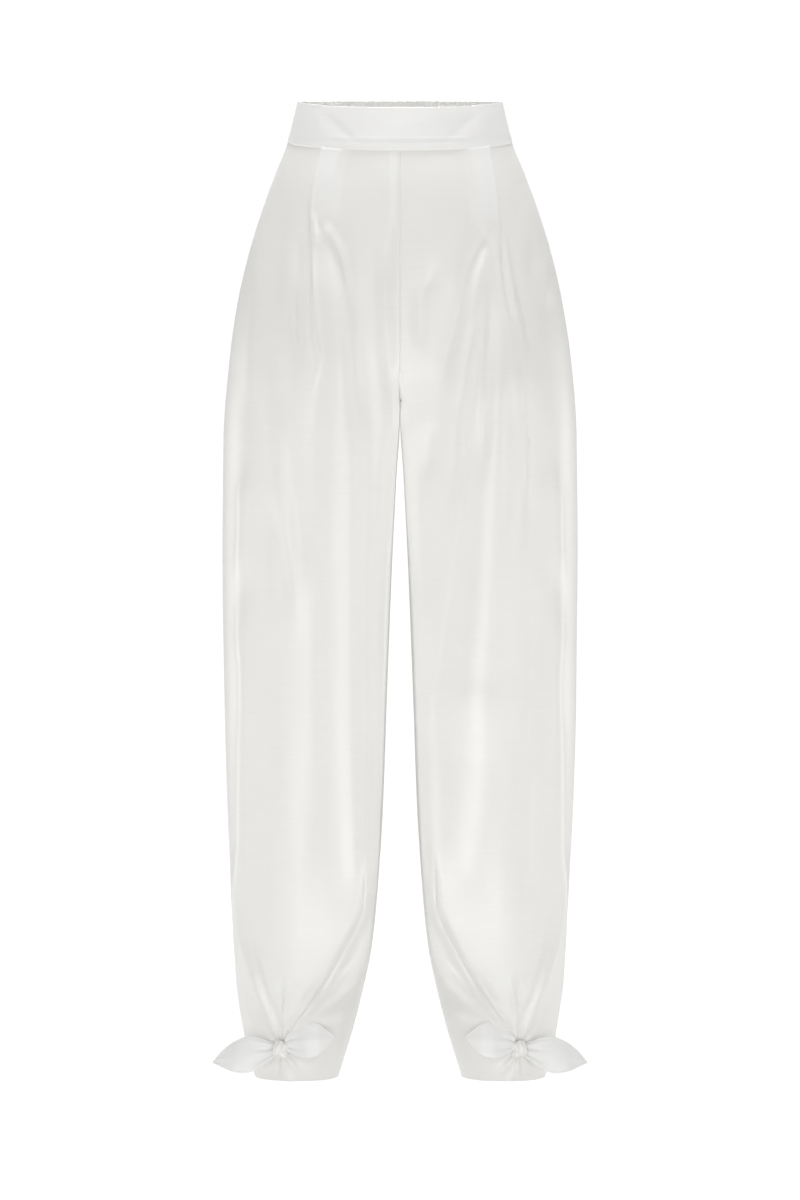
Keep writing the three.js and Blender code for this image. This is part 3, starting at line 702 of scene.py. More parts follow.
def panel_points(side, face):
    """The points of one leg panel in millimetres, and how far each takes the paler tone: doubled cloth, and
    painted light on the drawn-in cloth at the ankle.
    """
    heights = row_heights()
    turned = [HEM for _ in HEM_TURNING]
    levels = np.concatenate([heights, turned])[:, None]
    form = Form(levels)
    turn, raised, doubled, sink = panel_columns(side, face, form)
    on_form = form.point(turn, face)
    normals = form_normals(levels * np.ones_like(turn), turn, face)
    x, y, z = on_form[..., 0], on_form[..., 1], on_form[..., 2]
    centre = np.where(levels > CROTCH + 12, fade(x, *CENTRE_SEAM_LETS_GO), 1.0)
    held = fade(np.abs(y), *SIDE_SEAM_LETS_GO) * centre
    if face == "front":
        held = held * fade(-levels, *BAND_LETS_GO)
        edge = np.where(x < form.middle, fade(np.abs(normals[..., 1]), *FACES_FORWARD), 1.0)
        held = held * (1 + (edge - 1) * fade(-levels, *CORNER_HOLDS))
    lift = cloth_lift(side, face, x, z, turn) * held + raised - sink
    lift = lift - BAND_TUCK * fade(levels, BAND_BOTTOM - 1, BAND_BOTTOM + 3)
    if face == "front" and side == "right":
        allowance = within(x, ALLOWANCE) * fade(levels, *ALLOWANCE_DOWN_TO)
        lift = lift + ALLOWANCE_LIFT * allowance
        doubled = np.maximum(doubled, allowance)
    points = on_form + normals * lift[..., None]
    aside, back = inner_lean(form, face, x, y)
    points[..., 0] += aside
    points[..., 1] += back
    for row, (up, inside) in enumerate(HEM_TURNING):
        index = len(heights) + row
        points[index] = points[len(heights) - 1] - normals[index] * np.array([1, 1, 0]) * inside
        points[index, :, 2] += up
    doubled = np.maximum(doubled, DOUBLED_AND_PAINTED_LIGHT["hem"] * (1 - fade(levels, HEM + 17, HEM + 19)))
    if face == "front":
        press_legs_together(points, levels)
        # Painted light: the one-layer drawn-in cloth between the ankle's long folds takes part of the paler
        # doubled tone
        doubled = np.maximum(doubled, DOUBLED_AND_PAINTED_LIGHT["drawn"] * painted_light_on_drawn_cloth(x, levels))
    points[..., 0] = np.maximum(points[..., 0], SEAM_HALF)
    outwards = -1 if face == "front" else 1
    points[..., 1] = outwards * np.maximum(points[..., 1] * outwards, SEAM_HALF)
    return points, doubled, len(heights)


def deselect_all():
    for piece in bpy.context.selected_objects:
        piece.select_set(False)


def lay_grid(name, points, doubled):
    """Lays a grid primitive out on rows and columns of points, with the cloth's grain as its UV map."""
    rows, columns = points.shape[:2]
    deselect_all()
    bpy.ops.mesh.primitive_grid_add(x_subdivisions=columns - 1, y_subdivisions=rows - 1, size=1)
    sheet = bpy.context.object
    sheet.name = name
    mesh = sheet.data
    mesh.name = name
    mesh.vertices.foreach_set("co", (points * MM).astype(np.float32).ravel())
    across = np.zeros((rows, columns))
    across[:, 1:] = np.cumsum(np.linalg.norm(np.diff(points, axis=1), axis=2), axis=1)
    down = np.zeros((rows, columns))
    down[1:] = np.cumsum(np.linalg.norm(np.diff(points, axis=0), axis=2), axis=0)
    grain = np.stack([across, np.broadcast_to(down.mean(axis=1, keepdims=True), down.shape)], axis=-1)
    corners = np.empty(len(mesh.loops), dtype=np.int32)
    mesh.loops.foreach_get("vertex_index", corners)
    mesh.uv_layers[0].name = "Grain"
    mesh.uv_layers[0].data.foreach_set("uv", (grain.reshape(-1, 2)[corners] * MM).astype(np.float32).ravel())
    # The paler tone's share: doubled cloth, and painted light on the drawn-in cloth at the ankles
    layers = mesh.attributes.new("doubled", "FLOAT", "POINT")
    layers.data.foreach_set("value", doubled.astype(np.float32).ravel())
    mesh.update()
    return sheet


def face_outwards(sheet, centre):
    """Turns the sheet's faces over if they look towards the middle of the garment's tube."""
    mesh = sheet.data
    votes = sum((face.center - centre).dot(face.normal) * face.area for face in mesh.polygons)
    if votes < 0:
        mesh.flip_normals()


def thicken(sheet, thickness, outwards=-1.0):
    """Gives a sheet its wall, inwards from the face that shows."""
    bpy.context.view_layer.objects.active = sheet
    wall = sheet.modifiers.new("Wall", "SOLIDIFY")
    wall.thickness = thickness
    wall.offset = outwards
    bpy.ops.object.modifier_apply(modifier=wall.name)
    sheet.select_set(True)
    bpy.ops.object.shade_smooth_by_angle(angle=math.radians(62))
    deselect_all()


def turn_over(points, side):
    """The right leg is drawn as a left one, so its points cross the centre plane."""
    return points if side == "left" else points * np.array([-1.0, 1.0, 1.0])


def open_slit(sheet, columns, level_count):
    """Parts the cloth below the knot: the middle layer goes, so one edge lies over the other."""
    before = len(SEAM_ROLL) + sum(FRONT_COLUMNS[part] for part in ("seam", "crease", "middle"))
    first = before + round(0.4 * FRONT_COLUMNS["pleat"])
    open_columns = range(first, first + round(0.2 * FRONT_COLUMNS["pleat"]))
    heights = row_heights()
    shape = bmesh.new()
    shape.from_mesh(sheet.data)
    shape.faces.ensure_lookup_table()
    gone = []
    for face in shape.faces:
        row, column = divmod(face.index, columns - 1)
        level = heights[min(row, level_count - 1)]
        if column in open_columns and level <= SLIT_TOP:
            gone.append(face)
    bmesh.ops.delete(shape, geom=gone, context="FACES")
    shape.to_mesh(sheet.data)
    shape.free()


def leg_panel(side, face, thickness):
    points, doubled, level_count = panel_points(side, face)
    sheet = lay_grid(f"{face}_panel_{side}", turn_over(points, side), doubled)
    middle = LEG_MIDDLE if side == "left" else -LEG_MIDDLE
    face_outwards(sheet, Vector((middle, 0, -0.5)))
    if face == "front":
        open_slit(sheet, points.shape[1], level_count)
    thicken(sheet, thickness)
    return sheet


BAND_ROWS = 22
BAND_COLUMNS = {"front": 150, "back": 480}
BAND_CREASES = (
    Fold(((14, 79), (-2, 62), (-16, 47)), -0.7, 4, 6, 1.7),
    Fold(((16, 90), (4, 86), (-12, 82)), 0.5, 6, 6, 2.0),
)


def band_points(face):
    """The outer face of one half of the waistband: smooth in front, ruched over its elastic behind."""
    levels = np.linspace(BAND_BOTTOM, BAND_TOP, BAND_ROWS)[:, None]
    form = Form(levels)
    end = form.outer_turn(face, SEAM_HALF)
    turn = end + (np.pi - 2 * end) * np.linspace(0, 1, BAND_COLUMNS[face])
    points = form.point(turn, face)
    normals = form_normals(levels * np.ones_like(turn), turn, face) * np.array([1, 1, 0])
    sideways = np.sin(turn)
    lift = 0.8 * np.ones_like(turn)
    if face == "front":
        seam_line = BAND_BOTTOM + 5.4 + 5.6 * sideways
        lift = lift + 0.30 * np.exp(-(((levels - seam_line) / 0.9) ** 2))
        lift = lift - 0.30 * np.exp(-(((levels - seam_line + 2.2) / 1.1) ** 2))
        for crease in BAND_CREASES:
            lift = lift + fold_lift(crease, np.abs(points[..., 0]), levels)
        lift = lift + 0.25 * soft_noise(points[..., 0], levels * np.ones_like(turn), 23, 16, 31)
    else:
        ripple = elastic_ripple(turn + 0.0006 * (levels - BAND_BOTTOM), 2) * fade(sideways, 0.1, 0.5)
        lift = lift + 0.9 * ripple
        points[..., 2] += 0.8 * ripple * fade(levels, 8, BAND_TOP)
    points = points + normals * lift[..., None]
    outwards = -1 if face == "front" else 1
    points[..., 1] = outwards * np.maximum(points[..., 1] * outwards, SEAM_HALF)
    return points


def waistband(face, thickness):
    points = band_points(face)
    sheet = lay_grid(f"waistband_{face}_cloth", points, np.full(points.shape[:2], DOUBLED_AND_PAINTED_LIGHT["band"]))
    face_outwards(sheet, Vector((0, 0, 0)))
    thicken(sheet, thickness)
    soften_edges(sheet, 0.5)
    return sheet


def soften_edges(piece, width):
    """Rounds the edges that the wall's thickness leaves square."""
    bpy.context.view_layer.objects.active = piece
    edge = piece.modifiers.new("Soft edge", "BEVEL")
    edge.width = width * MM
    edge.segments = 3
    edge.limit_method = "ANGLE"
    edge.angle_limit = math.radians(60)
    bpy.ops.object.modifier_apply(modifier=edge.name)


# A tie end from the knot to its tip: its middle line, and half its width there
Leaf = namedtuple("Leaf", "height x y z half")
TIE_ENDS = {
    "outer": (
        Leaf(0.0, 131.0, -65.0, -996.0, 6.4),
        Leaf(0.1, 139.5, -67.5, -997.4, 10.4),
        Leaf(0.25, 150.0, -70.0, -998.8, 15.8),
        Leaf(0.45, 163.0, -71.5, -1000.8, 19.2),
        Leaf(0.62, 175.0, -71.3, -1002.6, 16.4),
        Leaf(0.82, 188.0, -68.0, -1005.2, 9.4),
        Leaf(1.0, 199.0, -63.5, -1009.3, 0.6),
    ),
    "inner": (
        Leaf(0.0, 122.5, -66.0, -989.5, 7.2),
        Leaf(0.1, 116.5, -69.0, -987.0, 11.6),
        Leaf(0.25, 108.5, -71.5, -985.4, 16.4),
        Leaf(0.45, 97.5, -73.5, -984.4, 18.8),
        Leaf(0.62, 88.5, -74.0, -984.0, 16.8),
        Leaf(0.82, 78.5, -72.5, -983.4, 9.8),
        Leaf(1.0, 70.2, -70.0, -981.6, 0.6),
    ),
}
TIE_ROWS = 90
TIE_COLUMNS = 56
EDGE_STITCH = 2.4


def tie_surface(which, along, across):
    """Points on a tie end's outer face, for how far out from the knot and across from its middle."""
    leaf = {key: smooth_value(TIE_ENDS[which], key, along) for key in ("x", "y", "z", "half")}
    drawn_in = np.exp(-((along / 0.2) ** 2))
    folds = np.cos(across * 9.0 + 1.2) + 0.5 * np.cos(across * 17.0)
    puff = 1.7 * (leaf["half"] / 19) * (1 - across**2) + 0.9 * drawn_in * folds
    puff = puff - 0.2 * leaf["half"] * across * (1 - drawn_in)
    puff = puff + 0.35 * soft_noise(along * 60, across * 20, 17, 9, 71 if which == "outer" else 73)
    from_edge = (1 - np.abs(across)) * leaf["half"]
    puff = puff - 0.22 * np.exp(-(((from_edge - EDGE_STITCH) / 0.5) ** 2)) * (1 - drawn_in)
    return np.stack([leaf["x"] + 0 * across, leaf["y"] - puff, leaf["z"] + leaf["half"] * across], axis=-1)


def tie_end(side, which, thickness):
    along = np.linspace(0, 1, TIE_ROWS)[:, None] ** 1.1
    across = np.sin(np.linspace(-0.5, 0.5, TIE_COLUMNS) * np.pi)[None, :]
    points = tie_surface(which, along, across)
    doubled = np.full(points.shape[:2], DOUBLED_AND_PAINTED_LIGHT["tie"])
    sheet = lay_grid(f"{which}_tie_end_{side}", turn_over(points, side), doubled)
    if sum(face.normal.y * face.area for face in sheet.data.polygons) > 0:
        sheet.data.flip_normals()
    thicken(sheet, thickness, outwards=0.0)
    soften_edges(sheet, 0.45)
    return sheet


# The turns of cloth that make the knot: each loop's half-depth and half-height, how it is tipped and turned
# (degrees), half the cloth's width and thickness in it, and where its middle is from the knot's
Loop = namedtuple("Loop", "deep tall tip turned half_width half_thick off")
KNOT_LOOPS = (
    Loop(4.0, 7.6, 10, 14, 4.4, 1.8, (3.0, 0.0, 0.6)),
    Loop(3.8, 5.0, -52, -16, 3.9, 1.8, (-1.2, 0.4, -4.6)),
    Loop(3.4, 4.4, 34, -20, 3.0, 1.5, (-3.6, 0.6, 2.4)),
)
KNOT_DEPTH = -67.0
KNOT_HEART = (6.4, 4.6, 8.4)


def knot_loop(loop):
    """One turn of gathered cloth, from a torus pressed flat and creased along its length."""
    deselect_all()
    bpy.ops.mesh.primitive_torus_add(
        major_segments=64, minor_segments=36, major_radius=1.0, minor_radius=0.4
    )
    ring = bpy.context.object
    tip, turned = math.radians(loop.tip), math.radians(loop.turned)
    for vertex in ring.data.vertices:
        round_loop = math.atan2(vertex.co.y, vertex.co.x)
        round_cloth = math.atan2(vertex.co.z, math.hypot(vertex.co.x, vertex.co.y) - 1.0)
        crease = 1 + 0.16 * math.cos(6 * round_cloth + 1.7 * math.sin(round_loop))
        out = loop.half_thick * crease * math.cos(round_cloth)
        x = loop.half_width * (1 + 0.12 * math.sin(2 * round_loop + 1)) * math.sin(round_cloth)
        y = (loop.deep + out) * math.cos(round_loop)
        z = (loop.tall + out) * math.sin(round_loop)
        x, y = x * math.cos(turned) - y * math.sin(turned), x * math.sin(turned) + y * math.cos(turned)
        x, z = x * math.cos(tip) - z * math.sin(tip), x * math.sin(tip) + z * math.cos(tip)
        vertex.co = (x + loop.off[0], y + loop.off[1], z + loop.off[2])
    return ring


def knot_heart():
    """The squeezed cloth that shows between the knot's turns."""
    deselect_all()
    bpy.ops.mesh.primitive_uv_sphere_add(segments=48, ring_count=32, radius=1.0)
    heart = bpy.context.object
    for vertex in heart.data.vertices:
        round_it = math.atan2(vertex.co.y, vertex.co.x)
        squeezed = 1 + 0.07 * math.cos(9 * round_it + 5 * vertex.co.z)
        half_width, half_depth, half_height = KNOT_HEART
        x, y = vertex.co.x * half_width * squeezed, vertex.co.y * half_depth * squeezed
        vertex.co = (x, y, vertex.co.z * half_height)
    return heart


def join(name, parts):
    deselect_all()
    for part in parts:
        part.select_set(True)
    bpy.context.view_layer.objects.active = parts[0]
    bpy.ops.object.join()
    whole = bpy.context.object
    whole.name = name
    whole.data.name = name
    return whole


def recalculate_outwards(piece):
    deselect_all()
    piece.select_set(True)
    bpy.context.view_layer.objects.active = piece
    bpy.ops.object.mode_set(mode="EDIT")
    bpy.ops.mesh.select_all(action="SELECT")
    bpy.ops.mesh.normals_make_consistent(inside=False)
    bpy.ops.object.mode_set(mode="OBJECT")
    bpy.ops.object.shade_smooth()
    deselect_all()


def place_at(piece, place, side):
    """Moves a piece modelled in millimetres round its own middle to its place on one ankle."""
    across = 1.0 if side == "left" else -1.0
    for vertex in piece.data.vertices:
        x, y, z = vertex.co
        vertex.co = ((x + place[0]) * MM * across, (y + place[1]) * MM, (z + place[2]) * MM)


def knot(side):
    tied = join(f"knot_cloth_{side}", [knot_loop(loop) for loop in KNOT_LOOPS] + [knot_heart()])
    place_at(tied, (KNOT[0], KNOT_DEPTH, KNOT[1]), side)
    if not tied.data.uv_layers:
        tied.data.uv_layers.new(name="Grain")
    tied.data.uv_layers[0].name = "Grain"
    grain = tied.data.uv_layers["Grain"].data
    for loop in tied.data.loops:
        x, y, z = tied.data.vertices[loop.vertex_index].co
        grain[loop.index].uv = (x + y, z)
    doubled = tied.data.attributes.new("doubled", "FLOAT", "POINT")
    for item in doubled.data:
        item.value = DOUBLED_AND_PAINTED_LIGHT["knot"]
    recalculate_outwards(tied)
    return tied


STITCH_LENGTH = 2.3
STITCH_EVERY = 3.0
THREAD = 0.17
STITCH_DIP = 0.16
STITCH_STANDS_OUT = 0.85


def one_stitch():
    """A short length of thread that dips into the cloth at both ends."""
    deselect_all()
    bpy.ops.mesh.primitive_uv_sphere_add(segments=6, ring_count=6, radius=1.0)
    stitch = bpy.context.object
    for vertex in stitch.data.vertices:
        along = vertex.co.z
        girth = THREAD / max(math.hypot(vertex.co.x, vertex.co.y), 0.2) * math.sqrt(max(1 - along**4, 0))
        x, y = vertex.co.x * girth, vertex.co.y * girth
        vertex.co = (x, y - STITCH_DIP * along**2, along * STITCH_LENGTH / 2)
    return stitch


def stitch_run(name, line, outwards):
    """Sews a run of stitches along a line of points, each laid on the cloth that faces outwards there."""
    stitch = one_stitch()
    lengths = np.concatenate([[0], np.cumsum(np.linalg.norm(np.diff(line, axis=0), axis=1))])
    count = max(int(lengths[-1] / STITCH_EVERY), 1)
    centres = (np.arange(count) + 0.5) * lengths[-1] / count
    run = bmesh.new()
    shape = stitch.data
    for centre in centres:
        place = [np.interp(centre, lengths, line[:, axis]) for axis in range(3)]
        ahead = [np.interp(centre + 1, lengths, line[:, axis]) for axis in range(3)]
        behind = [np.interp(centre - 1, lengths, line[:, axis]) for axis in range(3)]
        facing = Vector([np.interp(centre, lengths, outwards[:, axis]) for axis in range(3)]).normalized()
        forward = (Vector(ahead) - Vector(behind)).normalized()
        sideways = facing.cross(forward).normalized()
        facing = forward.cross(sideways)
        start = len(run.verts)
        for vertex in shape.vertices:
            x, y, z = vertex.co
            run.verts.new((Vector(place) + sideways * x + facing * y + forward * z) * MM)
        run.verts.ensure_lookup_table()
        for face in shape.polygons:
            run.faces.new([run.verts[start + index] for index in face.vertices])
    bpy.data.objects.remove(stitch)
    bpy.data.meshes.remove(shape)
    mesh = bpy.data.meshes.new(name)
    run.to_mesh(mesh)
    run.free()
    piece = bpy.data.objects.new(name, mesh)
    bpy.context.collection.objects.link(piece)
    recalculate_outwards(piece)
    return piece


def tie_stitches(side, which):
    """The stitching just inside a tie end's edge, from the knot round its tip and back."""
    along = np.linspace(0.2, 0.97, 60)
    half = smooth_value(TIE_ENDS[which], "half", along)
    inset = np.clip(1 - EDGE_STITCH / half, 0, 1)
    out = tie_surface(which, along, inset)
    back = tie_surface(which, along[::-1], -inset[::-1])
    line = turn_over(np.concatenate([out, back]) - np.array([0, STITCH_STANDS_OUT, 0]), side)
    return stitch_run(f"{which}_tie_stitches_{side}", line, np.tile([0.0, -1.0, 0.0], (len(line), 1)))


def set_value(node, socket, value):
    node.inputs[socket].default_value = value


def link(tree, source, output, target, socket):
    tree.links.new(source.outputs[output], target.inputs[socket])


def node(tree, kind, **settings):
    added = tree.nodes.new(kind)
    for key, value in settings.items():
        setattr(added, key, value)
    return added


def stretched_noise(tree, coordinates, scale, detail, roughness=0.5):
    """A noise texture whose grain is stretched along the cloth's threads."""
    mapping = node(tree, "ShaderNodeMapping")
    set_value(mapping, "Scale", scale)
    link(tree, coordinates, "UV", mapping, "Vector")
    noise = node(tree, "ShaderNodeTexNoise")
    set_value(noise, "Scale", 1.0)
    set_value(noise, "Detail", detail)
    set_value(noise, "Roughness", roughness)
    link(tree, mapping, "Vector", noise, "Vector")
    return noise


def cloth_material(settings):
    """Off-white slub cloth with a soft lustre: paler where it is doubled, and painted paler as light on the
    drawn-in cloth at the ankles.
    """
    name = "Slub cloth"
    if name in bpy.data.materials:
        return bpy.data.materials[name]
    cloth = bpy.data.materials.new(name)
    cloth.use_nodes = True
    tree = cloth.node_tree
    tree.nodes.clear()
    output = node(tree, "ShaderNodeOutputMaterial")
    shader = node(tree, "ShaderNodeBsdfPrincipled")
    link(tree, shader, "BSDF", output, "Surface")
    set_value(shader, "Roughness", settings.roughness)
    set_value(shader, "Sheen Weight", settings.sheen)
    set_value(shader, "Sheen Roughness", 0.4)
    set_value(shader, "Specular IOR Level", 0.8)
    set_value(shader, "Metallic", 0.08)
    grain = node(tree, "ShaderNodeUVMap", uv_map="Grain")
    slubs = stretched_noise(tree, grain, (26.0, 560.0, 1.0), 3.0)
    fine = stretched_noise(tree, grain, (190.0, 1700.0, 1.0), 2.0)
    warp = stretched_noise(tree, grain, (2100.0, 130.0, 1.0), 1.0)
    patches = stretched_noise(tree, grain, (9.0, 7.0, 1.0), 2.0)
    # Doubled cloth, and painted light on the drawn-in cloth at the ankles
    doubled = node(tree, "ShaderNodeAttribute", attribute_name="doubled")

    tone = node(tree, "ShaderNodeMix", data_type="RGBA")
    tone.inputs["A"].default_value = (*settings.single_colour, 1.0)
    tone.inputs["B"].default_value = (*settings.doubled_and_painted_light_colour, 1.0)
    link(tree, doubled, "Fac", tone, "Factor")
    shade = node(tree, "ShaderNodeMath", operation="MULTIPLY_ADD")
    link(tree, slubs, "Fac", shade, 0)
    set_value(shade, 1, 0.05)
    set_value(shade, 2, 0.955)
    drift = node(tree, "ShaderNodeMath", operation="MULTIPLY_ADD")
    link(tree, patches, "Fac", drift, 0)
    set_value(drift, 1, 0.04)
    link(tree, shade, "Value", drift, 2)
    colour = node(tree, "ShaderNodeVectorMath", operation="SCALE")
    link(tree, tone, "Result", colour, 0)
    link(tree, drift, "Value", colour, "Scale")
    link(tree, colour, "Vector", shader, "Base Color")

    slub_bump = node(tree, "ShaderNodeBump")
    set_value(slub_bump, "Strength", 0.4)
    set_value(slub_bump, "Distance", settings.slub_height)
    link(tree, slubs, "Fac", slub_bump, "Height")
    weave_bump = node(tree, "ShaderNodeBump")
    set_value(weave_bump, "Strength", 0.35)
    set_value(weave_bump, "Distance", 0.5 * settings.slub_height)
    threads = node(tree, "ShaderNodeMath", operation="ADD")
    link(tree, fine, "Fac", threads, 0)
    link(tree, warp, "Fac", threads, 1)
    link(tree, threads, "Value", weave_bump, "Height")
    link(tree, slub_bump, "Normal", weave_bump, "Normal")
    link(tree, weave_bump, "Normal", shader, "Normal")
    return cloth


def thread_material(settings):
    name = "Sewing thread"
    if name in bpy.data.materials:
        return bpy.data.materials[name]
    thread = bpy.data.materials.new(name)
    thread.use_nodes = True
    tree = thread.node_tree
    shader = tree.nodes["Principled BSDF"]
    set_value(shader, "Roughness", 0.5)
    set_value(shader, "Sheen Weight", 0.2)
    place = node(tree, "ShaderNodeTexCoord")
    ply = node(tree, "ShaderNodeTexWave", wave_type="BANDS", bands_direction="DIAGONAL")
    set_value(ply, "Scale", 1400.0)
    link(tree, place, "Object", ply, "Vector")
    tone = node(tree, "ShaderNodeMix", data_type="RGBA")
    tone.inputs["A"].default_value = (*settings.single_colour, 1.0)
    tone.inputs["B"].default_value = (*settings.doubled_and_painted_light_colour, 1.0)
    link(tree, ply, "Fac", tone, "Factor")
    link(tree, tone, "Result", shader, "Base Color")
    return thread


def finish_piece(piece, material, *nodes, slot="body_cloth"):
    """Gives a piece its cloth, hangs it from the frame's root, and hides the frame's nodes that it stands
    for.
    """
    piece.data.materials.clear()
    piece.data.materials.append(material)
    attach(piece, "root")
    if nodes:
        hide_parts(*nodes)


def settings_of(context):
    return context.scene.shalwar_cloth


class ShalwarCloth(bpy.types.PropertyGroup):
    """The cloth's thickness, colour and lustre."""

    cloth_thickness: bpy.props.FloatProperty(
        name="Cloth", description="Thickness of the legs' cloth", default=0.00045, min=0.0002, max=0.002,
        precision=5, unit="LENGTH",
    )
    band_thickness: bpy.props.FloatProperty(
        name="Waistband", description="Thickness of the doubled waistband", default=0.0022, min=0.001,
        max=0.004, precision=4, unit="LENGTH",
    )
    tie_thickness: bpy.props.FloatProperty(
        name="Tie ends", description="Thickness of the doubled tie ends", default=0.0015, min=0.0008,
        max=0.003, precision=4, unit="LENGTH",
    )
    slub_height: bpy.props.FloatProperty(
        name="Slubs", description="How far the thick threads stand up", default=0.00006, min=0.0,
        max=0.0005, precision=6, unit="LENGTH",
    )
    single_colour: bpy.props.FloatVectorProperty(
        name="Single cloth", description="Colour of one layer", subtype="COLOR", size=3,
        default=(0.875, 0.865, 0.835), min=0.0, max=1.0,
    )
    # The paler tone of doubled cloth, which also paints light on the drawn-in cloth at the ankles
    doubled_and_painted_light_colour: bpy.props.FloatVectorProperty(
        name="Doubled cloth", description="Colour of two layers or more", subtype="COLOR", size=3,
        default=(0.895, 0.892, 0.879), min=0.0, max=1.0,
    )
    roughness: bpy.props.FloatProperty(
        name="Roughness", description="How dull the cloth is", default=0.45, min=0.0, max=1.0,
        subtype="FACTOR",
    )
    sheen: bpy.props.FloatProperty(
        name="Sheen", description="Lustre at glancing angles", default=0.2, min=0.0, max=1.0,
        subtype="FACTOR",
    )


class ShalwarStage(bpy.types.PropertyGroup):
    """The floor, lights and camera."""

    floor_height: bpy.props.FloatProperty(
        name="Floor", description="Height of the floor", default=-1.5, unit="LENGTH",
    )
    camera_distance: bpy.props.FloatProperty(
        name="Camera distance", description="How far in front the camera stands", default=4.6, min=1.0,
        unit="LENGTH",
    )
    camera_height: bpy.props.FloatProperty(
        name="Camera height", description="Height of the camera", default=-0.517, unit="LENGTH",
    )
    view_height: bpy.props.FloatProperty(
        name="View height", description="How much of the centre plane the view takes in", default=1.296,
        min=0.1, unit="LENGTH",
    )
    front_light: bpy.props.FloatProperty(
        name="Front light", description="Power of each front softbox in watts", default=9.5, min=0.0,
    )
    top_light: bpy.props.FloatProperty(
        name="Top light", description="Power of the overhead softbox in watts", default=5.2, min=0.0,
    )
    key_light: bpy.props.FloatProperty(
        name="Key light", description="Power of the key softbox above the camera in watts", default=6.1,
        min=0.0,
    )
    low_light: bpy.props.FloatProperty(
        name="Low light", description="Power of the low softbox in watts", default=6.7, min=0.0,
    )
    side_light: bpy.props.FloatProperty(
        name="Side lights", description="Power of each side softbox in watts", default=6.0, min=0.0,
    )
    back_light: bpy.props.FloatProperty(
        name="Back light", description="Power of the softbox behind in watts", default=14.0, min=0.0,
    )
    ankle_light: bpy.props.FloatProperty(
        name="Ankle light", description="Power of the small softbox before the ankles in watts", default=1.5,
        min=0.0,
    )
    waist_light: bpy.props.FloatProperty(
        name="Waist light", description="Power of the small softbox over the waist in watts", default=3.2,
        min=0.0,
    )
    inside_light: bpy.props.FloatProperty(
        name="Inside light", description="Power of the small softbox inside the waist in watts", default=0.07,
        min=0.0,
    )


class ShalwarOperator:
    bl_options = {"REGISTER", "UNDO"}


class SHALWAR_OT_waistband(ShalwarOperator, bpy.types.Operator):
    """Models the smooth front and the ruched back of the waistband"""

    bl_idname = "shalwar.waistband"
    bl_label = "Waistband"

    def execute(self, context):
        settings = settings_of(context)
        cloth = cloth_material(settings)
        for face, held in (("front", "draped"), ("back", "gathered")):
            band = waistband(face, settings.band_thickness)
            finish_piece(band, cloth, f"waistband_{face}", slot="waistband_cloth")
        return {"FINISHED"}


class SHALWAR_OT_legs(ShalwarOperator, bpy.types.Operator):
    """Models the four leg panels, with their pleats, seams, folds and hems"""

    bl_idname = "shalwar.legs"
    bl_label = "Leg panels"

    def execute(self, context):
        settings = settings_of(context)
        cloth = cloth_material(settings)
        for side in ("left", "right"):
            for face in ("front", "back"):
                panel = leg_panel(side, face, settings.cloth_thickness)
                finish_piece(panel, cloth, f"{face}_leg_{side}")
        return {"FINISHED"}


class SHALWAR_OT_ties(ShalwarOperator, bpy.types.Operator):
    """Models each ankle's knot and its two leaf-shaped tie ends, with their stitching"""

    bl_idname = "shalwar.ties"
    bl_label = "Ankle ties"

    def execute(self, context):
        settings = settings_of(context)
        cloth = cloth_material(settings)
        thread = thread_material(settings)
        for side in ("left", "right"):
            tied = knot(side)
            finish_piece(tied, cloth, f"knot_{side}", slot="tie_cloth")
            for which in TIE_ENDS:
                end = tie_end(side, which, settings.tie_thickness)
                finish_piece(end, cloth, f"{which}_tail_{side}", slot="tie_cloth")
                stitches = tie_stitches(side, which)
                finish_piece(stitches, thread, slot="tie_cloth")
        return {"FINISHED"}


# A softbox: where it stands, what it faces, its width and height, and the setting that holds its power
Softbox = namedtuple("Softbox", "name place aim size power")
SOFTBOXES = (
    Softbox("Top softbox", (0.0, -1.2, 1.9), (0.0, 0.0, -0.1), (1.8, 1.2), "top_light"),
    Softbox("Key softbox", (0.0, -3.3, 0.2), (0.0, 0.0, -0.35), (0.9, 0.6), "key_light"),
    Softbox("Low softbox", (0.0, -3.3, -1.2), (0.0, 0.0, -0.75), (0.9, 0.5), "low_light"),
    Softbox("Back softbox", (0.0, 3.3, 0.1), (0.0, 0.0, -0.5), (1.2, 0.8), "back_light"),
    Softbox("Ankle softbox", (0.0, -1.25, -1.15), (0.0, 0.0, -1.0), (0.7, 0.3), "ankle_light"),
    Softbox("Waist softbox", (0.0, -0.03, 0.42), (0.0, 0.06, 0.0), (0.2, 0.08), "waist_light"),
    Softbox("Inside softbox", (0.0, -0.02, -0.1), (0.0, 0.085, 0.03), (0.2, 0.06), "inside_light"),
)
# Those that stand in pairs, given as the one on the left
PAIRED_SOFTBOXES = (
    Softbox("Front softbox", (3.0, -1.35, 0.1), (0.0, 0.0, -0.4), (1.2, 2.4), "front_light"),
    Softbox("Side softbox", (1.9, 1.2, -0.5), (0.0, 0.0, -0.5), (0.5, 1.2), "side_light"),
)
SENSOR_HEIGHT = 24.0


def area_light(name, place, aim, size, power):
    deselect_all()
    bpy.ops.object.light_add(type="AREA", location=place)
    light = bpy.context.object
    light.name = name
    light.data.shape = "RECTANGLE"
    light.data.size, light.data.size_y = size
    light.data.energy = power
    light.visible_camera = False
    light.rotation_euler = (Vector(aim) - Vector(place)).to_track_quat("-Z", "Y").to_euler()
    return light


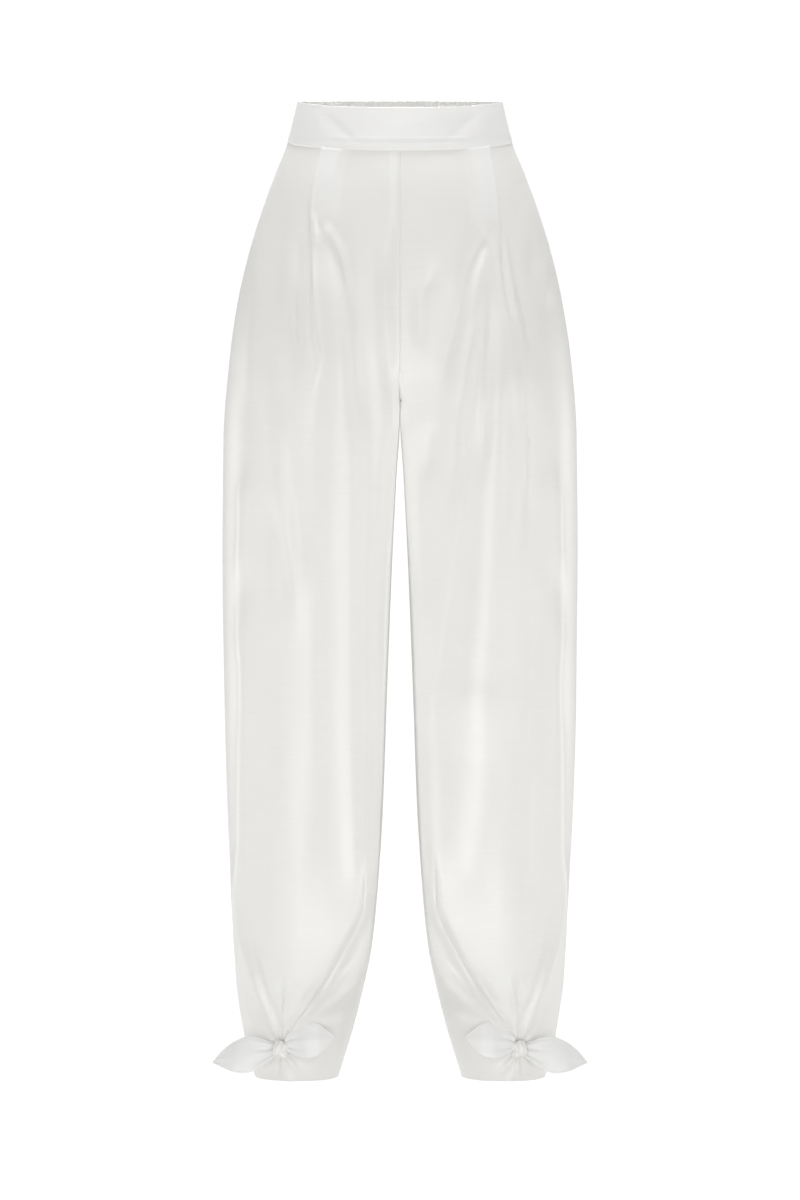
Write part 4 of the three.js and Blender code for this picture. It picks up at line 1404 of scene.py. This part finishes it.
def stage_floor(height):
    deselect_all()
    bpy.ops.mesh.primitive_circle_add(vertices=96, radius=12.0, fill_type="NGON", location=(0, 0, 0))
    floor = bpy.context.object
    floor.name = "floor"
    for vertex in floor.data.vertices:
        vertex.co.z = height
    glowing_paper = bpy.data.materials.new("Pale floor")
    glowing_paper.use_nodes = True
    shader = glowing_paper.node_tree.nodes["Principled BSDF"]
    set_value(shader, "Base Color", (0.93, 0.93, 0.93, 1.0))
    set_value(shader, "Roughness", 0.9)
    set_value(shader, "Specular IOR Level", 0.1)
    set_value(shader, "Emission Color", (1.0, 1.0, 1.0, 1.0))
    # The floor glows though it is no lamp: painted light, rising from none within 0.7 m of the middle to full
    # beyond 2.3 m, so the patch under the garment stays darker as a painted soft shadow
    tree = glowing_paper.node_tree
    place = node(tree, "ShaderNodeTexCoord")
    flat = node(tree, "ShaderNodeVectorMath", operation="MULTIPLY")
    set_value(flat, 1, (1.0, 1.0, 0.0))
    away = node(tree, "ShaderNodeVectorMath", operation="LENGTH")
    glow = node(tree, "ShaderNodeMapRange", interpolation_type="SMOOTHSTEP")
    set_value(glow, "From Min", 0.7)
    set_value(glow, "From Max", 2.3)
    set_value(glow, "To Max", 0.8)
    link(tree, place, "Object", flat, 0)
    link(tree, flat, "Vector", away, 0)
    link(tree, away, "Value", glow, "Value")
    link(tree, glow, "Result", shader, "Emission Strength")
    floor.data.materials.append(glowing_paper)
    return floor


class SHALWAR_OT_stage(ShalwarOperator, bpy.types.Operator):
    """Lays the floor, and sets the lights and the camera"""

    bl_idname = "shalwar.stage"
    bl_label = "Stage"

    def execute(self, context):
        scene = context.scene
        stage = scene.shalwar_stage
        stage_floor(stage.floor_height)
        for box in SOFTBOXES:
            area_light(box.name, box.place, box.aim, box.size, getattr(stage, box.power))
        for across in (-1.0, 1.0):
            for box in PAIRED_SOFTBOXES:
                place = (across * box.place[0], *box.place[1:])
                area_light(box.name, place, box.aim, box.size, getattr(stage, box.power))
        world = bpy.data.worlds.new("Studio")
        scene.world = world
        world.use_nodes = True
        tree = world.node_tree
        tree.nodes.clear()
        output = node(tree, "ShaderNodeOutputWorld")
        backdrop = node(tree, "ShaderNodeBackground")
        set_value(backdrop, "Color", (1.0, 1.0, 1.0, 1.0))
        set_value(backdrop, "Strength", 0.34)
        seen = node(tree, "ShaderNodeBackground")
        set_value(seen, "Color", (1.0, 1.0, 1.0, 1.0))
        set_value(seen, "Strength", 1.05)
        path = node(tree, "ShaderNodeLightPath")
        mixed = node(tree, "ShaderNodeMixShader")
        link(tree, path, "Is Camera Ray", mixed, 0)
        link(tree, backdrop, "Background", mixed, 1)
        link(tree, seen, "Background", mixed, 2)
        link(tree, mixed, "Shader", output, "Surface")
        deselect_all()
        bpy.ops.object.camera_add(
            location=(0.0, -stage.camera_distance, stage.camera_height), rotation=(math.pi / 2, 0.0, 0.0)
        )
        camera = context.object
        camera.name = "Camera"
        camera.data.sensor_fit = "VERTICAL"
        camera.data.sensor_height = SENSOR_HEIGHT
        camera.data.lens = SENSOR_HEIGHT * stage.camera_distance / stage.view_height
        camera.data.clip_end = 100.0
        scene.camera = camera
        scene.view_settings.view_transform = "Standard"
        return {"FINISHED"}


class SHALWAR_PT_panel(bpy.types.Panel):
    bl_label = "Tied shalwar"
    bl_idname = "SHALWAR_PT_panel"
    bl_space_type = "VIEW_3D"
    bl_region_type = "UI"
    bl_category = "Shalwar"

    def draw(self, context):
        layout = self.layout
        for group in (context.scene.shalwar_cloth, context.scene.shalwar_stage):
            for key in group.__annotations__:
                layout.prop(group, key)
        for operator in OPERATORS:
            layout.operator(operator.bl_idname)


OPERATORS = (SHALWAR_OT_waistband, SHALWAR_OT_legs, SHALWAR_OT_ties, SHALWAR_OT_stage)
CLASSES = (ShalwarCloth, ShalwarStage, *OPERATORS, SHALWAR_PT_panel)


def register():
    for each in CLASSES:
        bpy.utils.register_class(each)
    bpy.types.Scene.shalwar_cloth = bpy.props.PointerProperty(type=ShalwarCloth)
    bpy.types.Scene.shalwar_stage = bpy.props.PointerProperty(type=ShalwarStage)


def unregister():
    del bpy.types.Scene.shalwar_stage
    del bpy.types.Scene.shalwar_cloth
    for each in reversed(CLASSES):
        bpy.utils.unregister_class(each)


def main():
    register()
    deselect_all()
    bpy.ops.shalwar.waistband()
    bpy.ops.shalwar.legs()
    bpy.ops.shalwar.ties()
    bpy.ops.shalwar.stage()


if __name__ == "__main__":
    main()
